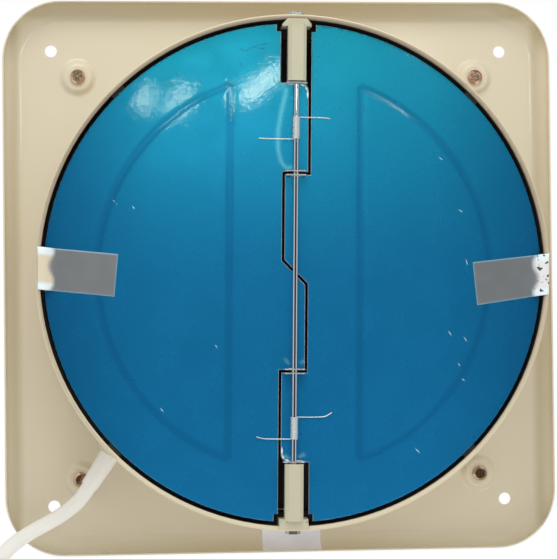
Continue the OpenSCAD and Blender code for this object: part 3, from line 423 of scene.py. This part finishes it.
scratch_white = make_material("film_scratch", linear(176, 206, 220), 0.5, patch=400, spread=0.2)
bare_metal = make_material("bare_aluminium", linear(232, 236, 240), 0.35, patch=200)
nick_blue = make_material("film_nick", linear(14, 78, 112), 0.4, patch=400, spread=0.2)
tape_cream_end = make_tape_material("tape_cream_end", linear(112, 116, 121), linear(214, 205, 182), 1.0)
tape_silver_end = make_tape_material("tape_silver_end", linear(106, 111, 116), linear(222, 224, 228), 0.6)
tape_pale = make_material("pale_tape", linear(232, 234, 250), 0.5, patch=60, spread=0.06)
grommet_rubber = make_material("grommet_rubber", linear(206, 198, 176), 0.6, bump=0.05)
vinyl = make_material("white_vinyl", linear(233, 232, 230), 0.42, patch=40, spread=0.03, bump=0.03)
tie_black = make_material("tie_plastic", linear(30, 30, 32), 0.45)
pin_brass = make_material("pin_metal", linear(205, 198, 170), 0.2, patch=150, spread=0.1, sockets=METAL)
stage_white = make_stage_material()

FINISHES = {
    "front_panel": enamel, "duct_collar": collar_enamel,
    "guard_spokes": white_wire, "guard_rings": white_wire, "guard_screws": yellow_zinc,
    "motor_front_shell": motor_paint, "motor_rear_shell": motor_paint,
    "stator_core": core_steel, "stator_windings": copper, "rotor": core_steel,
    "front_bearing": bronze, "rear_bearing": bronze,
    "motor_bolts": zinc_steel, "motor_nuts": zinc_steel, "motor_shaft": zinc_steel,
    "drive_pin": zinc_steel, "hinge_rod": rod_steel, "post_screws": zinc_steel,
    "terminal_box": black_plastic, "impeller_nut": black_plastic,
    "thrust_washers": washer_plastic, "impeller": impeller_paint,
    "upper_post": cream_plastic, "lower_post": cream_plastic,
    "upper_spring": zinc_steel, "lower_spring": zinc_steel,
    "left_flap": flap_metal, "right_flap": flap_metal,
    "left_film": blue_film, "right_film": blue_film,
    "left_tape": tape_cream_end, "right_tape": tape_silver_end, "edge_tape": tape_pale,
    "cord_grommet": grommet_rubber, "cord_relief": vinyl, "inner_lead": vinyl,
    "mains_cord": vinyl, "cord_coil": vinyl, "cord_tie": tie_black,
    "plug_body": vinyl, "plug_pins": pin_brass,
}

# Width of the rounded edges on the moulded and cut pieces that come from the frame
ROUNDED = {
    "upper_post": 0.35, "lower_post": 0.35, "terminal_box": 0.8, "plug_body": 1.2,
    "cord_tie": 0.3, "post_screws": 0.25, "impeller_nut": 0.4, "plug_pins": 0.2,
}
SHARP_FROM = math.radians(35)


def dress_frame():
    for name, finish in FINISHES.items():
        cad = nodes[name]
        cad.data.materials.clear()
        cad.data.materials.append(finish)
    for name, width in ROUNDED.items():
        edge = nodes[name].modifiers.new("rounded edges", "BEVEL")
        edge.width = width * MM
        edge.segments = 3
        edge.limit_method = "ANGLE"
        edge.angle_limit = SHARP_FROM
        edge.harden_normals = True


# Pieces
def link_piece(name, data, body):
    piece = bpy.data.objects.new(name, data)
    bpy.context.scene.collection.objects.link(piece)
    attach(piece, body)
    return piece


def make_mesh(name, points, faces, material, body):
    mesh = bpy.data.meshes.new(name)
    mesh.from_pydata([tuple(p) for p in points], [], faces)
    mesh.update()
    mesh.materials.append(material)
    mesh.polygons.foreach_set("use_smooth", [True] * len(mesh.polygons))
    return link_piece(name, mesh, body)


def mark_points(piece, label, values):
    """Values on a mesh's points, which its material reads by their label."""
    drawn = piece.data.attributes.new(label, "FLOAT", "POINT")
    drawn.data.foreach_set("value", np.asarray(values, np.float32))


def make_wire(name, points, radius, material, body):
    """A round wire or cord along a line of points in metres."""
    curve = bpy.data.curves.new(name, "CURVE")
    curve.dimensions = "3D"
    curve.bevel_depth = 1.0
    curve.bevel_resolution = 5
    curve.use_fill_caps = True
    spline = curve.splines.new("POLY")
    spline.points.add(len(points) - 1)
    for point, place in zip(spline.points, points):
        point.co = (*place, 1)
        point.radius = radius * MM
    spline.use_smooth = True
    curve.materials.append(material)
    return link_piece(name, curve, body)


def smooth_line(points, steps):
    """Points on one smooth curve through the given points."""
    padded = [2 * points[0] - points[1], *points, 2 * points[-1] - points[-2]]
    line = []
    for a, b, c, d in zip(padded, padded[1:], padded[2:], padded[3:]):
        for k in range(steps):
            t = k / steps
            line.append(0.5 * (2 * b + (c - a) * t + (2 * a - 5 * b + 4 * c - d) * t ** 2
                               + (3 * b - 3 * c + d - a) * t ** 3))
    line.append(points[-1].copy())
    return line


# Blue film on the flaps: its points lie a step or two apart, with a narrow lip along every edge
FILM_STEP = 0.5
FILM_LIP = 0.25
STEP_MARGIN = 0.9
FILM_GAP = HALF_SEAM + FILM_INSET
FILM_R = FLAP_R - 0.05
# Heights where every row is kept, and distance to the pressed bead where every column is
FINE_ROWS = (64, 98)
FINE_NEAR_BEAD = 3
SLANT = FILM_GAP * (math.sqrt(2) - 1)
# Heights at which the seam beside the right flap's film steps sideways
FILM_BREAKS = [
    -CORNER_NOTCH_Y,
    FILM_GAP - HALF_SEAM - TONGUE_END,
    -SEAM_STEP - FILM_GAP,
    SLANT - SEAM_INNER,
    SEAM_INNER + SLANT,
    SEAM_STEP - FILM_GAP,
    CORNER_NOTCH_Y,
]

# Soft waves of the film over the flap, and how it lies down towards its rim
WAVE_HEIGHT = 0.04
WAVE_SIZE = 55
WAVE_SEED = 3
WAVES = 14
RIM_FADE = 6

# How much of the pressed bead's depth the film follows, by x, and how strong the painted shade along it is
# at most
BEAD_X = [-1, 1, 35, 40]
BEAD_SHARE = [0.6, 0.4, 0.4, 1]
BEAD_SHADE = 0.3

# Creases in the film: ends in mm, height and half width
CREASES = [
    ((-4.8, 92.7), (-7.3, 82.5), 0.08, 1.1),
    ((-7.3, 82.5), (-8.8, 72.4), 0.08, 1.1),
    ((-8.8, 72.4), (-8.8, 62.3), 0.08, 1.1),
    ((-8.8, 62.3), (-7.3, 55.7), 0.08, 1.1),
    ((-7.3, 55.7), (-4.8, 52.7), 0.08, 1.1),
    ((-4.6, -93.2), (-2.6, -94.4), 0.12, 0.9),
    ((3.2, -93.6), (5.0, -92.6), 0.12, 0.9),
    ((-4.4, -44.6), (-3.0, -46.2), 0.1, 0.8),
    ((3.6, -46), (5.4, -45), 0.1, 0.8),
    ((-4.8, 52.4), (-2, 53.4), 0.1, 0.8),
]

# Bright scratches and dark blue nicks in the film: ends in mm
SCRATCHES = [
    ((-93, 36), (-90, 33)), ((-83, 33), (-81.5, 31)), ((-68, -69), (-66, -71.5)),
    ((-40.5, -37), (-39, -39)), ((73.5, 60), (76, 58)), ((79, -29), (81, -32)),
    ((87, -32), (89, -35)), ((84, -45.5), (85.5, -47.5)), ((86, -53.5), (88, -55)),
    ((62, -89), (65, -92)), ((84, 33), (86.5, 31.5)), ((88, 8), (89, 4)),
]
NICKS = [
    ((-29.6, 114.4), (-26, 111.9)), ((-26.4, 111.9), (-23.5, 113.9)), ((-24.5, 113.4), (-18.4, 115.9)),
    ((-19.4, 115.7), (-13.4, 116.5)), ((-20, 114.2), (-15.5, 113.6)), ((-36.5, 94.8), (-32.9, 94.4)),
    ((-29, 107), (-27.8, 104)), ((34, 84), (37, 82.5)), ((47, 30), (48.5, 28)),
]
# Bare bright edges of the right flap beside the rod; the left flap has the same, turned half round
BARE_EDGES = [
    ((6.5, -96.0), (-2.2, -96.0)), ((-1.8, -96.1), (-4.9, -94.9)), ((-4.7, -95.1), (-5.9, -92.5)),
    ((-5.9, -93.1), (-6.0, -88.5)), ((-4.9, 49.2), (5.5, 49.2)),
]
MARK_HALF_W = 0.22
BARE_HALF_W = 0.5
MARK_LIFT = 0.03


def seam_x(y):
    """Where the right flap's film starts, at a height between two breaks."""
    outer = SEAM_OUTER + FILM_GAP
    if abs(y) > CORNER_NOTCH_Y:
        return outer + CORNER_NOTCH
    if y > SEAM_STEP - FILM_GAP:
        return outer
    if y > SEAM_INNER + SLANT:
        return FILM_GAP - SEAM_INNER
    if y > SLANT - SEAM_INNER:
        return FILM_GAP - SEAM_INNER + (SEAM_INNER + SLANT - y)
    if y > -SEAM_STEP - FILM_GAP:
        return SEAM_INNER + FILM_GAP
    low = FILM_GAP - HALF_SEAM - TONGUE_END
    if y > low:
        into = max(0, low + TONGUE_CORNER_R - y)
        return FILM_GAP - SEAM_OUTER + TONGUE_CORNER_R - math.sqrt(TONGUE_CORNER_R ** 2 - into ** 2)
    return outer


def inner_steps(low, high):
    """The first whole film step well inside low to high, and the one after the last."""
    return math.ceil(low / FILM_STEP + STEP_MARGIN), math.floor(high / FILM_STEP - STEP_MARGIN) + 1


def film_rows():
    """Rows of points over the right flap's film, as (height, list of x), in bands between the breaks."""
    tiny = 1e-5
    corner_x = SEAM_OUTER + FILM_GAP + CORNER_NOTCH + FILM_INSET
    top = math.sqrt(FILM_R ** 2 - corner_x ** 2)
    breaks = [-top, *FILM_BREAKS, top]
    bands = []
    for low, high in zip(breaks, breaks[1:]):
        inner = [k * FILM_STEP for k in range(*inner_steps(low, high))]
        inner = [y for k, y in enumerate(inner) if k % 2 or FINE_ROWS[0] < abs(y) < FINE_ROWS[1]]
        band = []
        for y in [low, low + FILM_LIP, *inner, high - FILM_LIP, high]:
            first = seam_x(min(max(y, low + tiny), high - tiny))
            last = math.sqrt(FILM_R ** 2 - y ** 2)
            steps = np.arange(*inner_steps(first, last))
            kept = (steps % 2 == 0) | (bead_distance(steps * FILM_STEP, y) < FINE_NEAR_BEAD)
            columns = (steps[kept] * FILM_STEP).tolist()
            band.append((y, [first, first + FILM_LIP, *columns, last - FILM_LIP, last]))
        bands.append(band)
    return bands


def film_grid():
    """Points and triangles over the right flap's film, flat."""
    points, index, faces = [], {}, []

    def number(x, y):
        key = (round(x, 4), round(y, 4))
        if key not in index:
            index[key] = len(points)
            points.append(key)
        return index[key]

    for band in film_rows():
        for (y0, row0), (y1, row1) in zip(band, band[1:]):
            i = j = 0
            while i < len(row0) - 1 or j < len(row1) - 1:
                a, b = number(row0[i], y0), number(row1[j], y1)
                along = i < len(row0) - 1 and (j == len(row1) - 1 or row0[i + 1] <= row1[j + 1])
                if along:
                    i += 1
                    faces.append((a, number(row0[i], y0), b))
                else:
                    j += 1
                    faces.append((a, number(row1[j], y1), b))
    return np.array(points), faces


def waves(x, y):
    """Soft random waves over the film, from about -1 to 1."""
    chance = random.Random(WAVE_SEED)
    total = np.zeros_like(x)
    for _ in range(WAVES):
        angle = chance.uniform(0, math.pi)
        length = WAVE_SIZE * chance.uniform(0.7, 1.6)
        phase = chance.uniform(0, 2 * math.pi)
        total += np.sin((x * math.cos(angle) + y * math.sin(angle)) * 2 * math.pi / length + phase)
    return total / 5


def line_distance(x, y, a, b):
    """How far a point is from the line between two ends."""
    ax, ay = a
    dx, dy = b[0] - ax, b[1] - ay
    t = np.clip(((x - ax) * dx + (y - ay) * dy) / (dx * dx + dy * dy), 0, 1)
    return np.hypot(x - ax - t * dx, y - ay - t * dy)


def bead_distance(x, y):
    """How far a point is from the middle line of its flap's pressed bead."""
    far = 99
    half = math.sqrt(GROOVE_ARC_R ** 2 - GROOVE_LINE_X ** 2)
    to_arc = np.where(np.abs(x) > GROOVE_LINE_X, np.abs(np.hypot(x, y) - GROOVE_ARC_R), far)
    to_line = np.where(np.abs(y) < half, np.abs(np.abs(x) - GROOVE_LINE_X), far)
    return np.minimum(to_arc, to_line)


def film_relief(x, y):
    """Height of the film over the flap in mm, and how strong the painted highlight on its creases is, from
    0 to 1.
    """
    near = bead_distance(x, y)
    dip = np.clip(1 - near / GROOVE_HALF_W, 0, 1) * np.interp(x, BEAD_X, BEAD_SHARE)
    from_rim = FILM_R - np.hypot(x, y)
    free = np.clip(from_rim / RIM_FADE, 0, 1) * (1 - np.clip(1.5 - near / GROOVE_HALF_W, 0, 1))
    height = WAVE_HEIGHT * (1 + waves(x, y)) * free
    crease_highlight = np.zeros_like(x)
    for a, b, rise, half_w in CREASES:
        ridge = np.exp(-(line_distance(x, y, a, b) / half_w) ** 2)
        height = np.maximum(height, rise * ridge * free)
        crease_highlight = np.maximum(crease_highlight, 4 * rise * ridge)
    return height - GROOVE_DIP * dip, np.clip(crease_highlight, 0, 1)


def make_film(side, body):
    """The film on one flap: side is 1 for the right flap and -1 for the left."""
    flat, faces = film_grid()
    x, y = side * flat[:, 0], side * flat[:, 1]
    height, crease_highlight = film_relief(x, y)
    points = [damper(px, py, FILM_TOP + h) for px, py, h in zip(x, y, height)]
    film = make_mesh(body.replace("flap", "film_skin"), points, faces, blue_film, body)
    # Painted highlight along the creases, which the film's material reads
    mark_points(film, "crease_highlight", crease_highlight)
    # Painted shade along the pressed bead, which the film's material reads
    mark_points(film, "bead", BEAD_SHADE * np.clip(2.4 - 2 * bead_distance(x, y) / GROOVE_HALF_W, 0, 1))
    shaped = bmesh.new()
    shaped.from_mesh(film.data)
    rim = [e for e in shaped.edges if e.is_boundary]
    skirt = bmesh.ops.extrude_edge_only(shaped, edges=rim)
    for corner in skirt["geom"]:
        if isinstance(corner, bmesh.types.BMVert):
            corner.co.y = -FLAP_TOP * MM
    bmesh.ops.recalc_face_normals(shaped, faces=shaped.faces)
    shaped.to_mesh(film.data)
    shaped.free()
    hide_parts(body.replace("flap", "film"))


def make_marks(body, kind, lines, half_w, material):
    """Fine pointed marks on one flap, such as scratches in its film."""
    points, faces = [], []
    for a, b in lines:
        ends = np.array([a, b], float)
        height = film_relief(ends[:, 0], ends[:, 1])[0] + FILM_TOP + MARK_LIFT
        along = Vector(b) - Vector(a)
        across = Vector((-along.y, along.x)).normalized() * half_w
        middle = (Vector(a) + Vector(b)) / 2
        first = len(points)
        points += [
            damper(*a, height[0]), damper(*(middle - across), height.mean()),
            damper(*b, height[1]), damper(*(middle + across), height.mean())]
        faces.append((first, first + 1, first + 2, first + 3))
    make_mesh(body.replace("flap", kind), points, faces, material, body)


def dress_flap(side, body):
    """Film, scratches, nicks and bare edges of one flap."""
    make_film(side, body)
    for kind, lines, material in (
            ("film_scratches", SCRATCHES, scratch_white),
            ("film_nicks", NICKS, nick_blue)):
        own = [line for line in lines if line[0][0] * side > 0]
        make_marks(body, kind, own, MARK_HALF_W, material)
    edges = [((side * a, side * b), (side * c, side * d)) for (a, b), (c, d) in BARE_EDGES]
    make_marks(body, "bare_edges", edges, BARE_HALF_W, bare_metal)


def make_collar_lip():
    """A small round bead inside the duct's room end."""
    around, across = 180, 10
    points, faces = [], []
    for k in range(around):
        turn = 2 * math.pi * k / around
        for j in range(across):
            tip = 2 * math.pi * j / across
            r = COLLAR_R - LIP_R * (LIP_SUNK + math.cos(tip))
            points.append(stood(r * math.cos(turn), r * math.sin(turn), LIP_Z + LIP_R * math.sin(tip)))
            after = (k + 1) % around * across
            beside = (j + 1) % across
            faces.append((k * across + j, k * across + beside, after + beside, after + j))
    make_mesh("collar_lip", points, faces, collar_enamel, "housing")


# Transit tapes: the radius where they start to climb to the collar's rim, and how far that takes,
# their distance over film and rim, and their thickness
CLIMB_R = 121.2
CLIMB_W = 6.6
OVER_FILM = 0.12
OVER_RIM = 0.35
TAPE_T = 0.1
# Creases across a tape, lower where it lies flat and rising towards its loose end
TAPE_BENDS = 9
FLAT_SHARE = 0.3
LOOSE_RISE = 2.6
# Shares of a tape's length: how wide a crease is, and where it gets loose, waves and turns pale
BEND_W = 0.05
LOOSE_FROM = 0.72
WAVY_FROM = 0.75
PALE_FROM = 0.8
# How bright its edges are, where the painted highlight on its pale end's corners starts, and over what
# share both colours fade
TAPE_EDGE = 0.55
CORNER_HIGHLIGHT_FROM = 0.3
COLOUR_FADE = 0.06


def make_tape(name, corners, body, replaced, material, seed):
    """A thin creased strip from the flap's film over the collar's rim.

    The corners are in mm: inner upper, outer upper, outer lower and inner lower."""
    across, along = 24, 44
    a, b, c, d = (Vector(p) for p in corners)
    chance = random.Random(seed)
    bends = [
        (chance.uniform(0.05, 1), chance.uniform(-0.5, 0.5), chance.uniform(0.02, 0.1))
        for _ in range(TAPE_BENDS)]
    points, faces, pale, bright = [], [], [], []
    for i in range(along + 1):
        u = i / along
        for j in range(across + 1):
            v = j / across
            place = (a.lerp(b, u)).lerp(d.lerp(c, u), v)
            over = smooth_step((place.length - CLIMB_R) / CLIMB_W)
            z = FILM_TOP + OVER_FILM + over * (COLLAR_RIM_Z + OVER_RIM - FILM_TOP)
            crumple = sum(
                h * max(0, 1 - abs(u + slope * (v - 0.5) - at) / BEND_W) for at, slope, h in bends)
            loose = FLAT_SHARE + LOOSE_RISE * max(0, u - LOOSE_FROM)
            wave = math.sin(7 * v + 9 * u + seed) * max(0, u - WAVY_FROM)
            z += crumple * loose + max(0, wave)
            points.append(damper(place.x, place.y, z))
            end = held((u - PALE_FROM - 0.03 * math.sin(9 * v + seed)) / COLOUR_FADE)
            # A painted highlight on the corners of the pale end
            corner = held((abs(v - 0.5) - CORNER_HIGHLIGHT_FROM) / COLOUR_FADE)
            edge = TAPE_EDGE if j in (0, across) or i == 0 else 0
            pale.append(end)
            bright.append(max(end * corner, edge))
    for i in range(along):
        for j in range(across):
            k = i * (across + 1) + j
            faces.append((k, k + 1, k + across + 2, k + across + 1))
    tape = make_mesh(name, points, faces, material, body)
    mark_points(tape, "pale", pale)
    mark_points(tape, "bright", bright)
    thick = tape.modifiers.new("thickness", "SOLIDIFY")
    thick.thickness = TAPE_T * MM
    thick.offset = 0
    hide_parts(replaced)


# Torsion springs: the curls stay on the rod and each leg goes with its flap
def make_spring(name, middle, replaced, legs):
    """legs: for each flap, how far its leg reaches and how high its end turns up."""
    per_turn = 16
    top = middle + SPRING_CURLS * SPRING_PITCH / 2
    bottom = top - SPRING_CURLS * SPRING_PITCH
    curls = [
        damper(-SPRING_R * math.sin(2 * math.pi * k / per_turn),
               top - SPRING_PITCH * k / per_turn,
               ROD_Z - SPRING_R * math.cos(2 * math.pi * k / per_turn))
        for k in range(SPRING_CURLS * per_turn + 1)]
    coil = make_wire(name + "_curls", curls, WIRE_R, spring_steel, "housing")
    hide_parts(replaced)
    curl_z = ROD_Z - SPRING_R
    leg_z = FILM_TOP + WIRE_R + 0.1
    for side, label, y, body in ((1, "right", top, "right_flap"), (-1, "left", bottom, "left_flap")):
        reach, rise = legs[body]
        shape = [
            (side * 0.2, 0, curl_z),
            (side * 2.4, 0, curl_z),
            (side * reach * 0.5, 0, leg_z),
            (side * (reach - 4), rise * 0.12, leg_z),
            (side * (reach - 1.5), rise * 0.6, leg_z),
            (side * reach, rise, leg_z)]
        line = smooth_line([damper(x, y + dy, z) for x, dy, z in shape], 6)
        make_wire(f"{name}_{label}_leg", line, WIRE_R, spring_steel, body)


# Power cord: out of the strain relief, over the panel's corner, down and into its coil
CORD_ROUTE = [
    (-113.2, -121.9, 21.3),
    (-121, -127.5, 20.7),
    (-128, -131.5, 19.8),
    (-135.5, -135.5, 18.8),
    (-142.5, -140, 17.7),
    (-149, -145.5, 16.5),
    (-154, -152, 15.2),
    (-159.5, -159.5, 13.7),
    (-165.5, -168, 12),
    (-172, -177, 10.2),
    (-178.5, -186.3, 8.4),
    (-185, -195.8, 6.6),
    (-191.8, -205.7, 5.1),
]
STEPS_PER_TURN = 32


def cord_line():
    exit_x = COLLAR_OUT_R * math.cos(CORD_EXIT_AT)
    exit_y = COLLAR_OUT_R * math.sin(CORD_EXIT_AT)
    heading = Vector((math.cos(CORD_ANGLE), math.sin(CORD_ANGLE), 0))
    start = Vector((exit_x, exit_y, CORD_EXIT_Z)) + RELIEF_LEN * heading
    coil_z = COIL_PITCH / 2
    outer = COIL_INNER_R + COIL_TURNS * COIL_PITCH
    entry = Vector((COIL_X + outer * math.cos(COIL_ENTRY), COIL_Y + outer * math.sin(COIL_ENTRY), coil_z))
    inward = Vector((-math.sin(COIL_ENTRY), math.cos(COIL_ENTRY), 0))
    route = [
        start,
        start + 6 * heading,
        *(Vector(p) for p in CORD_ROUTE),
        entry - 2 * CORD_D * inward,
        entry - CORD_D * inward,
    ]
    line = smooth_line(route, 2)
    # Two turns inwards in the front layer, two outwards in the one behind, and on to the left side
    extra = (math.pi - COIL_ENTRY) / (2 * math.pi)
    turns = 2 * COIL_TURNS + extra
    steps = round(turns * STEPS_PER_TURN)
    for k in range(steps + 1):
        t = turns * k / steps
        r = COIL_INNER_R + COIL_PITCH * abs(t - COIL_TURNS)
        angle = COIL_ENTRY + 2 * math.pi * t
        level = coil_z * (1 - 2 * smooth_step((t - COIL_TURNS + 0.25) / 0.5))
        line.append(Vector((COIL_X + r * math.cos(angle), COIL_Y + r * math.sin(angle), level)))
    line.append(line[-1] - Vector((0, CORD_D, 0)))
    return [stood(*p) for p in line]


def make_cord():
    line = cord_line()
    cord = make_wire("power_cord", line, CORD_D / 2, vinyl, "housing")
    cord.data.bevel_resolution = 8
    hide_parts("mains_cord", "cord_coil")


# Stage and light
FLOOR_Z = -0.36
FLOOR_SIZE = 1.9
FLOOR_MIDDLE = (-0.05, -0.5)
# How bright the room is for what lies in front, low down and behind, and what a mirror sees in front
AMBIENT_FRONT = 0.67
AMBIENT_LOW = 0.45
AMBIENT_BACK = 0.35
MIRROR_FRONT = 0.05
WARM = (1.0, 0.97, 0.9, 1)
WHITE = (1, 1, 1, 1)


def make_stage():
    bpy.ops.mesh.primitive_plane_add(size=FLOOR_SIZE, location=(*FLOOR_MIDDLE, FLOOR_Z))
    floor = bpy.context.object
    floor.name = "floor"
    floor.data.materials.append(stage_white)


def make_world():
    """White behind the object, and a softer room light in front of it and all round."""
    world = bpy.data.worlds.new("plain light")
    bpy.context.scene.world = world
    world.use_nodes = True
    tree = world.node_tree
    tree.nodes.clear()
    toward = add(tree, "ShaderNodeTexCoord").outputs["Generated"]
    axes = axes_of(tree, toward)
    behind = ranged(tree, axes["Y"], -0.2, 0.2)
    ambient = ranged(tree, behind, 0.0, 1.0, AMBIENT_FRONT, AMBIENT_BACK)
    above = ranged(tree, axes["Z"], -0.7, 0.7, AMBIENT_LOW, 2 - AMBIENT_LOW)
    ambient = worked(tree, "MULTIPLY", ambient, above)
    mirror = ranged(tree, axes["Y"], -0.9, -0.5, MIRROR_FRONT, 1.0)
    rays = add(tree, "ShaderNodeLightPath").outputs
    mirrored = worked(tree, "MAXIMUM", rays["Is Glossy Ray"], rays["Is Transmission Ray"])
    strength = ranged(tree, mirrored, 0.0, 1.0, ambient, mirror)
    strength = ranged(tree, rays["Is Camera Ray"], 0.0, 1.0, strength, 1.0)
    tint = mixed(tree, rays["Is Diffuse Ray"], WHITE, WARM)
    light = add(tree, "ShaderNodeBackground", {"Color": tint, "Strength": strength})
    out = add(tree, "ShaderNodeOutputWorld")
    tree.links.new(light.outputs["Background"], out.inputs["Surface"])


# Small lamps a little above the camera, as x, z, width and power: two, and a slanting row of five,
# whose images sparkle in the film
LAMP_Y = -1.15
FILM_HEIGHT = 0.09
TUBE_COLOUR = (0.85, 1.0, 0.84)
SPARKLES = [(-0.045, 0.21, 0.026, 0.075), (-0.008, 0.205, 0.026, 0.075)]
SPARKLES += [(0.051 + 0.0092 * k, 0.205 + 0.0072 * k, 0.022, 0.052) for k in range(5)]


def make_lights():
    centre, wide = (0, 0, 0), (0.6, 0.6)
    make_light("ceiling_light", (-0.12, -0.65, 0.8), centre, wide, 3.7)
    make_light("room_light", (0.4, 0.35, 1.2), centre, wide, 9)
    for x, z, width, power in SPARKLES:
        make_light("tube_light", (x, LAMP_Y, z), (x - 0.04, 0, FILM_HEIGHT), (width, width), power,
                   colour=TUBE_COLOUR)
    # A thin one whose image lies in the right flap's bead
    make_light("bead_light", (0.252, LAMP_Y, 0.274), (0.1, 0, FILM_HEIGHT), (0.08, 0.022), 0.11, turn=-31)


make_camera()
make_world()
make_stage()
make_lights()

dress_frame()
dress_flap(1, "right_flap")
dress_flap(-1, "left_flap")
make_tape("left_transit_tape", [(-89.7, 8.3), (-130.2, 11.6), (-129.9, -10.0), (-91.4, -13.3)],
          "left_flap", "left_tape", tape_cream_end, 4)
make_tape("right_transit_tape", [(91.6, 6.0), (130.7, 10.8), (130.5, -10.2), (94.0, -16.1)],
          "right_flap", "right_tape", tape_silver_end, 9)
make_spring("upper_spring", UPPER_SPRING_Y, "upper_spring",
            {"right_flap": (17.6, -0.5), "left_flap": (19, 0.2)})
make_spring("lower_spring", LOWER_SPRING_Y, "lower_spring",
            {"right_flap": (19.4, 2.4), "left_flap": (19, 1.1)})
make_cord()
make_collar_lip()

bpy.context.scene.view_settings.view_transform = "Standard"
bpy.context.view_layer.update()
